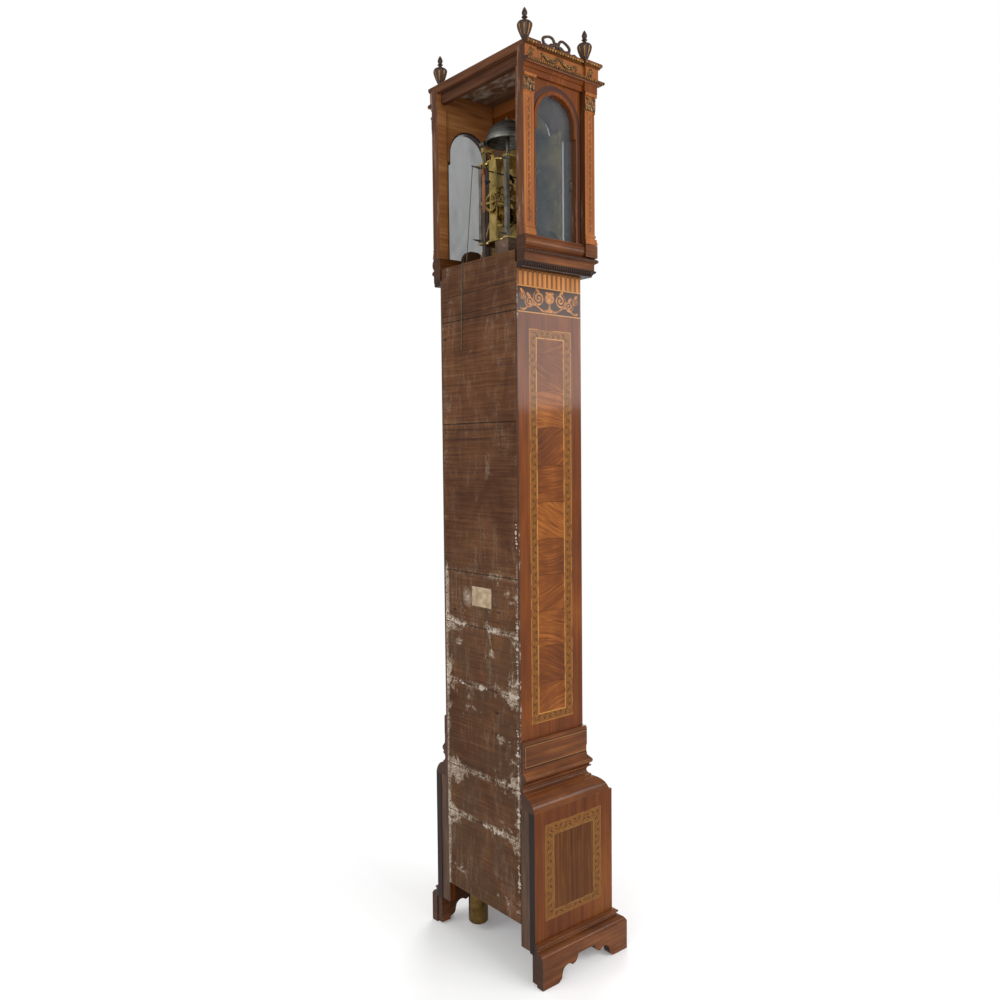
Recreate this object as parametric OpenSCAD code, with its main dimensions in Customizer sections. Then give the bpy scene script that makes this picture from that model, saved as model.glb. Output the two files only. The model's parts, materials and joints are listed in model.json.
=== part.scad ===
// Longcase clock with an arched, glazed hood, a trunk with a door, a base on bracket feet
// and a two-train posted movement with a seconds pendulum and two weights.
// Millimetres. The floor is z = 0, the back of the case lies at y = foot_d / 2, the dial faces -Y.

/* [Base] */
// Width over the bracket feet
foot_w = 468; // [456:1:480]
// Depth over the bracket feet, measured from the back of the case
foot_d = 306; // [300:1:316]
// Height of the bracket feet
foot_h = 77; // [70:1:90]
// Width of a foot at the floor
foot_flat = 49; // [40:1:60]
// Thickness of the bracket foot boards
foot_t = 22; // [16:1:24]
// Height of the moulding above the feet
base_mould_h = 30; // [28:1:34]
// How far the feet stand out from the base panels
foot_over = 28; // [26:1:30]
// Height of the base panels between the two mouldings
base_panel_h = 330; // [280:5:380]
// Thickness of the base panels
base_t = 20; // [14:1:22]

/* [Trunk] */
// Width of the trunk
trunk_w = 314; // [306:1:322]
// Depth of the trunk
trunk_d = 219; // [214:1:226]
// Height from the floor to the bottom of the trunk panels
trunk_z = 608; // [598:1:618]
// Height of the trunk panels
trunk_h = 1177; // [1150:1:1200]
// Thickness of the trunk sides
trunk_side_t = 12; // [10:0.5:13]
// Thickness of the trunk front frame
trunk_front_t = 20; // [16:1:24]
// Width of the trunk door opening
door_open_w = 200; // [180:2:220]
// Height of the trunk door opening
door_open_h = 900; // [800:10:960]
// Height of the rail below the trunk door
door_sill_h = 110; // [90:5:140]
// Thickness of the back boards
back_t = 12; // [9:1:14]
// Height of the back boards above the throat of the case
back_rise = 30; // [10:1:45]

/* [Hood] */
// Height of the throat moulding under the hood
throat_h = 15; // [12:1:20]
// How far the throat moulding stands out from the trunk
throat_out = 29; // [27:1:31]
// Width over the sides of the hood
hood_w = 362; // [356:1:370]
// Depth of the hood over the door
hood_d = 234; // [230:1:240]
// Thickness of the hood sides
hood_side_t = 16; // [12:1:18]
// Height of the base frame of the hood
hood_base_h = 62; // [56:1:70]
// Height of the glazed part of the hood
hood_open_h = 381; // [376:1:396]
// Width of the side windows
window_w = 138; // [120:1:144]
// Height of the side windows up to the spring of the arch
window_spring = 258; // [240:1:266]
// Radius of the side window's arch
window_r = 63; // [54:1:66]
// Thickness of the window glasses
glass_t = 2.5; // [2:0.5:3]
// Height of the frieze with its architrave, from the opening to the top of the hood
entab_h = 77; // [72:1:84]
// How far the hood door's corner posts stand out from the hood sides
post_out = 14; // [10:1:16]
// Height of a finial
finial_h = 84; // [60:1:90]
// Largest diameter of a finial
finial_dia = 38; // [32:1:42]

/* [Dial] */
// Width of the dial plate
dial_w = 280; // [268:2:288]
// Thickness of the dial plate
dial_t = 2.5; // [2:0.1:3]
// Radius of the arch of the dial
dial_arch_r = 92; // [80:1:96]
// Outer diameter of the chapter ring
chapter_dia = 262; // [250:1:264]
// Width of the chapter ring
chapter_band = 40; // [34:1:46]
// Length of the minute hand from its centre
minute_len = 118; // [105:1:124]
// Length of the hour hand from its centre
hour_len = 82; // [70:1:90]

/* [Movement] */
// Width of the movement's plates
plate_w = 120; // [118:1:124]
// Depth of the movement's plates
plate_d = 88; // [87:1:92]
// Height of the corner posts between the plates
post_h = 202; // [198:1:206]
// Thickness of the plates
plate_t = 4; // [3:0.5:5]
// Side of a corner post
post_s = 10; // [8:1:11]
// Width of a brass strap
strap_w = 28; // [24:1:30]
// Thickness of a brass strap
strap_t = 4; // [3:0.5:5]
// Radius of the arbors
arbor_r = 2; // [1.8:0.1:2.2]
// Radius of the pivots
pivot_r = 1.2; // [1:0.1:1.4]
// Clearance round a running pivot
pivot_gap = 0.05; // [0.03:0.01:0.08]
// Radius of the rope groove of a drum
drum_r = 18; // [16:0.5:19]
// Radius of the bell
bell_r = 58; // [52:1:59]
// Height of the bell
bell_h = 58; // [52:1:58]
// Wall of the bell
bell_t = 3; // [2:0.5:4]

/* [Pendulum] */
// Length from the suspension's bend to the middle of the bob
pendulum_len = 994; // [960:1:1000]
// Diameter of the bob
bob_dia = 100; // [80:1:110]
// Thickness of the bob
bob_t = 14; // [10:1:15]
// Width of the pendulum rod
rod_w = 12; // [8:1:14]
// Thickness of the pendulum rod
rod_t = 3; // [2:0.5:4]

/* [Weights] */
// Diameter of a weight
weight_dia = 55; // [46:1:58]
// Height of a weight's brass shell
weight_h = 150; // [130:5:200]
// Height of the weights above the floor when the clock has run down
weight_rest = 20; // [12:1:40]
// Diameter of the drive lines
line_dia = 3; // [2:0.5:3.5]
// Radius of a weight pulley at the line's centre
pulley_r = 22; // [18:1:24]

/* [Hidden] */
$fn = 48;

// Small shared clearances
joint_gap = 0.3;
slide_gap = 1.5;
fit_gap = 0.06;
hair = 0.01;

// Levels of the case
back_y = foot_d / 2;
base_w = foot_w - 2 * foot_over;
base_d = foot_d - foot_over;
base_z = foot_h + base_mould_h;
waist_z = base_z + base_panel_h;
waist_h = trunk_z - waist_z;
trunk_top = trunk_z + trunk_h;
hood_z = trunk_top + throat_h;
open_z = hood_z + hood_base_h;
entab_z = open_z + hood_open_h;
roof_z = entab_z + entab_h;
trunk_in = trunk_w / 2 - trunk_side_t;
hood_in = hood_w / 2 - hood_side_t;

// Back boards
back_rebate = 6;
back_w = 2 * (trunk_in + back_rebate);
back_low = 31;
back_joints = [0, 0.125, 0.202, 0.343, 0.436, 0.52, 0.753, 0.914, 1];
board_gap = 0.6;

// Roof board
roof_t = 12;

// Side window, measured from the back of the case
window_mid = 110;
window_sill = 1;
stile_front = 196;

// Hood door
door_back = 200;
door_frame_t = 22;
door_gap = 1.5;
door_post = 28;
pivot_pin_r = 2;
pivot_pin_h = 7;
pivot_x = hood_w / 2 + 8;
pivot_d = door_back + 6;
door_z = open_z + door_gap;
door_h = hood_open_h - 2 * door_gap;

// Movement frame, depths measured from the back of the case
seat_t = 20;
bearer_h = 40;
bottom_z = open_z + 23;
seat_z = bottom_z - bearer_h - seat_t;
seat_top = seat_z + seat_t;
plate_in = bottom_z + plate_t;
top_z = plate_in + post_h;
plate_back = 55;
post_back = plate_back + 0.5 + post_s / 2;
post_front = plate_back + plate_d - 1.5 - post_s / 2;
post_x = plate_w / 2 - 3 - post_s / 2;
strap_back = 56;
strap_mid = 97;
strap_front = 138;

// Arbor heights above the seat board, strike train behind and going train in front
great_z = bottom_z + 73;
mod_great = 0.75;
mod_fine = 0.6;
mod_second = 0.7;
great_n = 96;
second_pin_n = 8;
second_n = 60;
escape_pin_n = 12;
escape_n = 30;
escape_r = 20;
second_z = great_z + mod_great * (great_n + second_pin_n) / 2;
escape_z = second_z + mod_second * (second_n + escape_pin_n) / 2;
anchor_z = escape_z + 2 * escape_r;
strike_n = 80;
hoop_pin_n = 8;
hoop_n = 60;
warn_pin_n = 6;
warn_n = 48;
fly_pin_n = 6;
hoop_z = great_z + mod_great * (strike_n + hoop_pin_n) / 2;
warn_z = hoop_z + mod_fine * (hoop_n + warn_pin_n) / 2;
fly_z = warn_z + mod_fine * (warn_n + fly_pin_n) / 2;
count_n = 54;
count_pin_n = 6;
count_rise = 26;
mod_count = 2 * count_rise / (count_n + count_pin_n);
count_z = great_z + count_rise;

// Dial and motion work
dial_z = great_z + 54;
dial_back = 170;
dial_half = dial_w / 2;
dial_low = dial_z - dial_half;
motion_n = 54;
mod_motion = (dial_z - great_z) / motion_n;
hour_n = 72;
hour_pin_n = 6;
mod_hour = 2 * (dial_z - great_z) / (hour_n + hour_pin_n);

// Bell and hammer
bell_d = 109;
bell_z = top_z + plate_t + 51;
hammer_x = 38;
hammer_z = great_z + 32;
hammer_d = 78;

// Pendulum, its cock and the suspension spring
pend_d = 27;
spring_t = 0.8;
cock_top = top_z + plate_t + 22;

// Thin cord: x, depth from the back, height
cord_dia = 2.4;
cord_sides = 8;
knot_drop = 10;
back_top = hood_z + back_rise;
cord_route = [for (p = [[0, 31, 0], [0, 31, -5], [0.5, 28, -41], [2, 22, -121]])
                [post_x + p[0], p[1], top_z - knot_drop + p[2]],
              for (p = [[4, 17, 60], [5, 14, 20], [5.5, 12, 6], [6, 9, 1.8], [6, 5, 1.3], [6, 1, 1.2], [6, -1, -0.2],
                        [6, -1.6, -4], [6.5, -1.6, -30], [8, -1.6, -80], [10, -1.6, -140], [12, -1.6, -190],
                        [13, -1.6, -224]])
                [post_x + p[0], p[1], back_top + p[2]]];

// Drive lines
line_r = line_dia / 2;
strike_line_d = 70;
going_line_d = 118;
weight_side_gap = 7;
weight_x = trunk_in - weight_dia / 2 - weight_side_gap;
fall_in = weight_x - pulley_r;
guide_r = 10;
guide_z = seat_z - 20;
guide_x = fall_in - guide_r - line_r;
pulley_rest = weight_rest + weight_h + 46;
drum_line = drum_r + line_r + joint_gap;
guide_line = guide_r + line_r;
line_run = norm([guide_x, great_z - guide_z]);
line_a = acos((drum_line - guide_line) / line_run) - atan2(great_z - guide_z, guide_x);

function dy(d) = back_y - d;
function arc(cx, cy, r, a0, a1, n) = [for (i = [0:n]) let(a = a0 + (a1 - a0) * i / n) [cx + r * cos(a), cy + r * sin(a)]];

// Lays a child drawn in x (left-right) and y (up) upright, its thickness running forwards from depth d.
module upright(d, t) {
  translate([0, dy(d), 0]) rotate([90, 0, 0]) linear_extrude(t) children();
}

// Lays a child drawn in x (forwards from the back) and y (up) against a side plane at x, outwards by t.
module sideways(x, t) {
  translate([x, back_y, 0]) rotate([90, 0, -90]) mirror([0, 0, 1]) linear_extrude(t) children();
}

// Box between two depths, two heights and two x values.
module block(x0, x1, d0, d1, z0, z1) {
  translate([x0, dy(d1), z0]) cube([x1 - x0, d1 - d0, z1 - z0]);
}

// A cylinder that lies along the depth of the clock, from depth d0 to d1.
module rod_y(x, z, r, d0, d1) {
  translate([x, dy(d0), z]) rotate([90, 0, 0]) cylinder(r = r, h = d1 - d0);
}

module both_sides() {
  for (s = [0, 1]) mirror([s, 0, 0]) children();
}

// Runs a moulding round the two sides and the front of a box w wide and d deep, mitred at the corners.
// The profile is drawn with x outwards from the face and y upwards.
module three_sided(w, d, reach, d0 = 0) {
  both_sides() {
    intersection() {
      translate([w / 2, dy(d0), 0]) rotate([90, 0, 0]) linear_extrude(d - d0 + reach) children();
      translate([0, 0, -hair]) linear_extrude(roof_z * 2)
        polygon([[w / 2, dy(d0)], [w / 2, dy(d)], [w / 2 + reach, dy(d + reach)], [w / 2 + reach, dy(d0)]]);
    }
  }
  intersection() {
    translate([0, dy(d), 0]) rotate([90, 0, -90]) linear_extrude(w + 2 * reach, center = true) children();
    translate([0, 0, -hair]) linear_extrude(roof_z * 2)
      polygon([[-w / 2, dy(d)], [w / 2, dy(d)], [w / 2 + reach, dy(d + reach)], [-w / 2 - reach, dy(d + reach)]]);
  }
}

// Outline of a toothed wheel: straight-sided teeth, each with two root and two tip points.
function gear_points(n, m, phase, add, ded, share) =
  [for (i = [0:n - 1], k = [0:3])
    let(r = m * n / 2, w = 360 / n * share,
        a = 360 / n * i + phase + [-0.62, -0.26, 0.26, 0.62][k] * w,
        q = [r - ded * m, r + add * m, r + add * m, r - ded * m][k])
    [q * cos(a), q * sin(a)]];

module gear(n, m, phase = 0, add = 0.55, ded = 0.9, share = 0.42) {
  polygon(gear_points(n, m, phase, add, ded, share));
}

// A wheel with four crossings, drawn flat.
module crossed_wheel(n, m, rim, hub, arm, phase) {
  r = m * n / 2;
  difference() {
    gear(n, m, phase);
    difference() {
      circle(r = r - rim);
      circle(r = hub);
      square([2 * r, arm], center = true);
      square([arm, 2 * r], center = true);
    }
  }
}

// Places a flat wheel at height z, from depth d, t thick.
module wheel_at(z, d, t) {
  translate([0, dy(d), z]) rotate([90, 0, 0]) linear_extrude(t) children();
}

// Body of an arbor with a thinner pivot at each end, 3 long in the strap.
module arbor(x, z, d0, d1, body_r = arbor_r) {
  rod_y(x, z, body_r, d0 + 0.2, d1 - 0.2);
  rod_y(x, z, pivot_r, d0 - 3, d1 + 3);
}

// Case

module back_boards() {
  z0 = base_z + back_low;
  h = hood_z + back_rise - z0;
  color("#5a3a28")
    for (i = [0:len(back_joints) - 2])
      block(-back_w / 2, back_w / 2, 0, back_t,
            z0 + h * back_joints[i] + (i > 0 ? board_gap : 0), z0 + h * back_joints[i + 1]);
}

// One trunk side: full depth up to the throat, then the rounded cheek that carries the seat board.
module trunk_side() {
  cheek_d0 = 71;
  cheek_d1 = 145;
  cheek_r = 30;
  cheek_top = bottom_z + 4;
  difference() {
    sideways(-trunk_w / 2, trunk_side_t) {
      translate([0, base_z + base_panel_h]) square([trunk_d, hood_z - waist_z]);
      translate([cheek_d0, hood_z - 1]) square([cheek_d1 - cheek_d0, cheek_top - hood_z - cheek_r + 1]);
      translate([cheek_d0 + cheek_r, hood_z]) square([cheek_d1 - cheek_d0 - 2 * cheek_r, cheek_top - hood_z]);
      for (d = [cheek_d0 + cheek_r, cheek_d1 - cheek_r])
        translate([d, cheek_top - cheek_r]) circle(r = cheek_r);
    }
    block(-trunk_in - back_rebate, -trunk_in + 1, -1, back_t, waist_z - 1, hood_z + 1);
  }
}

module trunk_side_left() {
  color("#a5612c") trunk_side();
}

module trunk_side_right() {
  color("#a5612c") mirror([1, 0, 0]) trunk_side();
}

door_z0 = trunk_z + door_sill_h;
door_lip = 7;
door_lip_t = 6;

module trunk_front_frame() {
  color("#a5612c")
    difference() {
      block(-trunk_in, trunk_in, trunk_d - trunk_front_t, trunk_d, waist_z, hood_z);
      block(-door_open_w / 2, door_open_w / 2, trunk_d - trunk_front_t - 1, trunk_d + 1,
            door_z0, door_z0 + door_open_h);
      block(-door_open_w / 2 - 12, -door_open_w / 2 + 1, trunk_d - trunk_front_t + 6,
            trunk_d - trunk_front_t + 11, lock_z - 14, lock_z + 14);
    }
}

// Profile of the waist: ovolo, scotia, torus and the plain block under the trunk.
module waist_profile() {
  over = (base_w - trunk_w) / 2;
  ovolo_r = over - 6;
  translate([0, waist_z]) {
    square([over, 4]);
    square([over - 2, 10]);
    intersection() {
      translate([6, -5]) circle(r = ovolo_r, $fn = 96);
      square([over, waist_h]);
    }
    difference() {
      square([16, 66]);
      translate([18, 52]) circle(r = 11);
    }
    translate([11, 78]) circle(r = 8);
    polygon([[0, 66], [12, 66], [17, 83], [8, 93], [8, 100], [0, 100]]);
    translate([0, 93]) square([7, waist_h - 93]);
    translate([0, 119]) polygon([[0, 0], [8, 0], [8, waist_h - 124], [3, waist_h - 119], [0, waist_h - 119]]);
  }
}

module waist_moulding() {
  color("#8c4a22") three_sided(trunk_w, trunk_d, (base_w - trunk_w) / 2) waist_profile();
}

// Base side and front panels, and the rear strips that fill the width beside the back boards.
module base_panels() {
  strip_t = 18;
  color("#a5612c") {
    both_sides() block(base_w / 2 - base_t, base_w / 2, 0, base_d, foot_h, waist_z);
    block(-base_w / 2 + base_t, base_w / 2 - base_t, base_d - base_t, base_d, foot_h, waist_z);
    both_sides() block(back_w / 2, base_w / 2 - base_t, 2, 2 + strip_t, foot_h + 3, waist_z);
  }
}

// Profile of the base moulding: astragal, scotia and ovolo, drawn from the base panel's face.
module base_profile() {
  translate([0, foot_h]) {
    intersection() {
      translate([foot_over - 20, -6]) circle(r = 20, $fn = 96);
      square([foot_over, base_mould_h]);
    }
    square([foot_over - 17, base_mould_h - 16]);
    difference() {
      square([foot_over - 17, base_mould_h - 6]);
      translate([foot_over - 16, base_mould_h - 11]) circle(r = 4.5);
    }
    translate([foot_over - 19, base_mould_h - 6]) circle(r = 3.2);
    polygon([[0, base_mould_h - 9], [foot_over - 19, base_mould_h - 9], [foot_over - 18, base_mould_h - 4],
             [3, base_mould_h], [0, base_mould_h]]);
  }
}

module base_moulding() {
  color("#8c4a22") three_sided(base_w, base_d, foot_over) base_profile();
}

// Scrolled edge beside a foot, from the foot's inner edge at the floor towards the middle of the board.
function scroll_edge(half) = concat(
  arc(0, 18, 18, 270, 345, 5),
  arc(38, 18, 20, 180, 55, 8),
  arc(53, 52, 21, 270, 360, 6),
  [[half, 53]]);

// Upright board w long with a scrolled opening between two feet that are flat wide.
module foot_board(w, flat) {
  half = w / 2 - flat;
  difference() {
    square([w, foot_h]);
    for (m = [0, 1])
      translate([m * w, 0]) mirror([m, 0]) translate([flat, 0]) scale([1, foot_h / 77])
        polygon(concat([[0, -1]], scroll_edge(half), [[half, -1]]));
  }
}

module bracket_feet() {
  inner_w = foot_w - 2 * foot_t;
  block_h = foot_h - 4;
  color("#8c4a22") {
    both_sides() sideways(foot_w / 2 - foot_t, foot_t) foot_board(foot_d, foot_flat);
    upright(foot_d - foot_t, foot_t) translate([-inner_w / 2, 0]) foot_board(inner_w, foot_flat - foot_t);
    both_sides() {
      block(inner_w / 2 - 20, inner_w / 2, 3, 33, foot_h - block_h, foot_h);
      block(inner_w / 2 - 24, inner_w / 2, foot_d - foot_t - 24, foot_d - foot_t, foot_h - block_h, foot_h);
    }
  }
}

module throat_profile() {
  translate([0, trunk_top])
    difference() {
      square([throat_out, throat_h]);
      translate([throat_out + 3, 0]) circle(r = throat_h - 4);
    }
}

module throat_moulding() {
  color("#2e211b") three_sided(trunk_w, trunk_d, throat_out) throat_profile();
}

lock_z = door_z0 + door_open_h / 2;

// Trunk door: a panel inside the opening with a lipped moulding in front.
module trunk_door() {
  gap = 1;
  color("#a5612c") {
    difference() {
      block(-door_open_w / 2 + gap, door_open_w / 2 - gap, trunk_d - trunk_front_t + 2, trunk_d,
            door_z0 + gap, door_z0 + door_open_h - gap);
      block(-door_open_w / 2 - 1, -door_open_w / 2 + 42, trunk_d - trunk_front_t + 1,
            trunk_d - trunk_front_t + 13, lock_z - 31, lock_z + 31);
    }
    block(-door_open_w / 2 - door_lip, door_open_w / 2 + door_lip, trunk_d, trunk_d + door_lip_t - 2,
          door_z0 - door_lip, door_z0 + door_open_h + door_lip);
    block(-door_open_w / 2 - door_lip + 4, door_open_w / 2 + door_lip - 4, trunk_d, trunk_d + door_lip_t,
          door_z0 - door_lip + 4, door_z0 + door_open_h + door_lip - 4);
  }
}

trunk_hinge_x = door_open_w / 2 + door_lip + 4;
trunk_hinge_d = trunk_d + door_lip_t + 1;
trunk_hinge_z = [door_z0 + 90, door_z0 + door_open_h - 150];
knuckle_h = 20;
knuckle_r = 3;
hinge_pin_r = 1.2;

// Middle knuckles of the two hinges, on plates that are screwed to the trunk front.
module trunk_hinge_plates() {
  color("#b8923f")
    for (z = trunk_hinge_z)
      difference() {
        union() {
          translate([trunk_hinge_x, dy(trunk_hinge_d), z + knuckle_h + joint_gap])
            cylinder(r = knuckle_r, h = knuckle_h - 2 * joint_gap);
          block(trunk_hinge_x, trunk_hinge_x + knuckle_r, trunk_d, trunk_hinge_d,
                z + knuckle_h + joint_gap, z + 2 * knuckle_h - joint_gap);
          block(trunk_hinge_x, trunk_hinge_x + 14, trunk_d, trunk_d + 2, z, z + 3 * knuckle_h);
        }
        translate([trunk_hinge_x, dy(trunk_hinge_d), z]) cylinder(r = hinge_pin_r + fit_gap, h = 3 * knuckle_h);
      }
}

// Hinge leaves with their pins on the door, the lock case let into its edge, and the pierced escutcheon.
module trunk_door_fittings() {
  leaf_t = 1.5;
  color("#b8923f") {
    for (z = trunk_hinge_z) {
      for (k = [0, 2])
        translate([trunk_hinge_x, dy(trunk_hinge_d), z + k * knuckle_h]) cylinder(r = knuckle_r, h = knuckle_h);
      translate([trunk_hinge_x, dy(trunk_hinge_d), z]) cylinder(r = hinge_pin_r, h = 3 * knuckle_h);
      difference() {
        block(door_open_w / 2 - 18, trunk_hinge_x, trunk_d + door_lip_t, trunk_d + door_lip_t + leaf_t,
              z, z + 3 * knuckle_h);
        block(trunk_hinge_x - knuckle_r - 1, trunk_hinge_x + 1, trunk_d, trunk_d + door_lip_t + 3,
              z + knuckle_h, z + 2 * knuckle_h);
      }
    }
    difference() {
      union() {
        upright(trunk_d + door_lip_t, 1.5)
          translate([-door_open_w / 2 + 18, lock_z]) {
            circle(r = 13);
            translate([0, 15]) circle(r = 8);
            translate([0, -15]) circle(r = 8);
          }
      }
      rod_y(-door_open_w / 2 + 18, lock_z + 4, 3, trunk_d, trunk_d + door_lip_t + 4);
      block(-door_open_w / 2 + 16.5, -door_open_w / 2 + 19.5, trunk_d, trunk_d + door_lip_t + 4,
            lock_z - 10, lock_z + 4);
    }
    difference() {
      block(-door_open_w / 2 + 2, -door_open_w / 2 + 41, trunk_d - trunk_front_t + 2,
            trunk_d - trunk_front_t + 12.5, lock_z - 30, lock_z + 30);
      block(-door_open_w / 2 + 1, -door_open_w / 2 + 32, trunk_d - trunk_front_t + 6.5,
            trunk_d - trunk_front_t + 10.5, lock_z - 12.3, lock_z + 12.3);
    }
  }
}

bolt_len = 30;

module trunk_lock_bolt() {
  color("#8d8a84")
    block(-door_open_w / 2 + 1.5, -door_open_w / 2 + 1.5 + bolt_len, trunk_d - trunk_front_t + 7,
          trunk_d - trunk_front_t + 10, lock_z - 12, lock_z + 12);
}

// Movement frame

// Board between the cheeks with a slot for each line, its cleats, and three bearers under the movement.
module seat_board() {
  cleat_t = 6;
  cleat_w = 12;
  cleat_h = 40;
  slot_in = fall_in - 46.5;
  slot_out = fall_in + 6;
  slot_half = 5;
  seat_back = plate_back + 3;
  seat_front = plate_back + plate_d + 2;
  bearer_x = plate_w / 2 - 1;
  color("#4a3324") {
    difference() {
      block(-trunk_in, trunk_in, seat_back, seat_front, seat_z, seat_top);
      block(slot_in, slot_out, strike_line_d - slot_half, strike_line_d + slot_half, seat_z - 1, seat_top + 1);
      block(-slot_out, -slot_in, going_line_d - slot_half, going_line_d + slot_half, seat_z - 1, seat_top + 1);
    }
    block(-bearer_x, -6, seat_back, going_line_d - 8, seat_top, bottom_z);
    both_sides() {
      block(28, bearer_x, going_line_d + 7, plate_back + plate_d, seat_top, bottom_z);
      block(trunk_in - cleat_t, trunk_in, seat_back + 42, seat_back + 42 + cleat_w, seat_z - cleat_h, seat_z);
    }
  }
}

// Edge of a plate: a shallow ogee between two straight corners.
module plate_outline() {
  scallop = 9;
  difference() {
    translate([-plate_w / 2, plate_back]) square([plate_w, plate_d]);
    for (x = [-1, 1], d = [plate_back, plate_back + plate_d])
      translate([x * plate_w / 4, d]) circle(r = scallop);
  }
}

module movement_plates() {
  slot_x = 36;
  color("#b8923f")
    difference() {
      for (z = [bottom_z, top_z])
        translate([0, back_y, z]) mirror([0, 1, 0]) linear_extrude(plate_t) plate_outline();
      block(slot_x, plate_w / 2 - 4, strike_line_d - 3, strike_line_d + 5, bottom_z - 1, plate_in + 1);
      block(-plate_w / 2 + 4, -slot_x, going_line_d - 5, going_line_d + 5, bottom_z - 1, plate_in + 1);
      block(hammer_x - 6, plate_w / 2 + 1, hammer_d - 4, hammer_d + 4, top_z - 1, top_z + plate_t + 1);
    }
}

module corner_posts() {
  spur_h = 24;
  color("#3d3a37") {
    for (x = [-post_x, post_x]) {
      for (d = [post_back, post_front]) {
        block(x - post_s / 2, x + post_s / 2, d - post_s / 2, d + post_s / 2, plate_in, top_z);
        block(x - post_s / 2 - 1.5, x + post_s / 2 + 1.5, d - post_s / 2 - 0.4, d + post_s / 2 + 0.4,
              plate_in, plate_in + 8);
        block(x - post_s / 2 - 1.5, x + post_s / 2 + 1.5, d - post_s / 2 - 0.4, d + post_s / 2 + 0.4,
              top_z - 8, top_z);
      }
      for (z = [plate_in + 6, top_z - 6])
        translate([x, dy(post_back - post_s / 2), z]) rotate([-90, 0, 0]) cylinder(r1 = 3.5, r2 = 1, h = spur_h);
    }
    translate([post_x, dy(cord_route[0][1]), top_z - 6]) sphere(r = 2.6);
    translate([post_x, dy(cord_route[0][1]), cord_route[0][2]]) cylinder(r = cord_dia / 2, h = 4);
  }
}

// Three vertical straps with a bearing hole for every arbor that runs in them.
module movement_straps() {
  run = pivot_r + pivot_gap;
  color("#b8923f") {
    difference() {
      block(-strap_w / 2, strap_w / 2, strap_back, strap_back + strap_t, plate_in, top_z);
      for (z = [hoop_z, warn_z, fly_z]) rod_y(0, z, run, strap_back - 1, strap_back + strap_t + 1);
      rod_y(0, great_z, arbor_r + pivot_gap, strap_back - 1, strap_back + strap_t + 1);
      rod_y(0, anchor_z, arbor_r + pivot_gap, strap_back - 1, strap_back + strap_t + 1);
    }
    rod_y(0, count_z, 1.6, strap_back - 7, strap_back);
    difference() {
      block(-strap_w / 2, strap_w / 2, strap_mid, strap_mid + strap_t, plate_in, top_z);
      for (z = [hoop_z, warn_z, fly_z, great_z, second_z, escape_z])
        rod_y(0, z, run, strap_mid - 1, strap_mid + strap_t + 1);
      rod_y(0, anchor_z, arbor_r + 1, strap_mid - 1, strap_mid + strap_t + 1);
    }
    difference() {
      block(-strap_w / 2, strap_w / 2, strap_front, strap_front + strap_t, plate_in, top_z);
      for (z = [second_z, escape_z, anchor_z]) rod_y(0, z, run, strap_front - 1, strap_front + strap_t + 1);
      rod_y(0, great_z, arbor_r + pivot_gap, strap_front - 1, strap_front + strap_t + 1);
    }
    rod_y(0, dial_z, 1.5, strap_front + strap_t, dial_back + 10);
    difference() {
      block(hammer_x - 6, post_x - post_s / 2, strap_back, strap_back + strap_t, hammer_z - 5, hammer_z + 5);
      rod_y(hammer_x, hammer_z, run, strap_back - 1, strap_back + strap_t + 1);
    }
    difference() {
      block(strap_w / 2, hammer_x + 5, strap_mid, strap_mid + strap_t, hammer_z - 5, hammer_z + 5);
      rod_y(hammer_x, hammer_z, run, strap_mid - 1, strap_mid + strap_t + 1);
    }
  }
}

module bell() {
  color("#4b5049")
    translate([0, dy(bell_d), bell_z])
      rotate_extrude($fn = 96)
        difference() {
          intersection() {
            translate([0, bell_h - bell_r]) circle(r = bell_r, $fn = 96);
            square([bell_r, bell_h]);
          }
          intersection() {
            translate([0, bell_h - bell_r]) circle(r = bell_r - bell_t, $fn = 96);
            square([bell_r, bell_h - bell_t]);
          }
          square([3 + fit_gap, bell_h + 1]);
        }
}

module bell_stand() {
  color("#3d3a37")
    translate([0, dy(bell_d), top_z + plate_t]) {
      cylinder(r = 9, h = 4);
      cylinder(r = 5, h = 51 + bell_h - bell_t);
      cylinder(r = 3, h = 51 + bell_h + 8);
      translate([0, 0, 51 + bell_h]) cylinder(r = 6, h = 5, $fn = 6);
    }
}

// S-shaped cock that rises from the top plate and carries the suspension spring behind the frame.
module pendulum_cock() {
  neck_r = 14;
  neck_t = 5;
  foot = top_z + plate_t;
  neck_d = plate_back + 7 - neck_r;
  color("#b8923f") {
    sideways(-5, 10) {
      translate([plate_back + 2, foot]) square([20, 4]);
      translate([plate_back + 7 - neck_t, foot]) square([neck_t, 4]);
      translate([neck_d, foot + 4])
        intersection() {
          difference() {
            circle(r = neck_r);
            circle(r = neck_r - neck_t);
          }
          square([neck_r, neck_r]);
        }
      translate([pend_d, foot + 4 + neck_r - neck_t]) square([neck_d - pend_d, neck_t]);
      translate([neck_d + 2, foot + 4 + neck_r + 1]) circle(r = 4);
      translate([pend_d - 4, cock_top - 12]) square([8, 12]);
    }
    block(-spring_t / 2, spring_t / 2, pend_d - 3, pend_d + 3, anchor_z - 4, cock_top - 2);
  }
}

// Dial

module dial_outline(inset = 0) {
  arch_z = dial_low + dial_w - 12;
  translate([-dial_half + inset, dial_low + inset]) square([dial_w - 2 * inset, dial_w - 2 * inset]);
  translate([0, arch_z]) circle(r = dial_arch_r - inset, $fn = 96);
}

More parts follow.
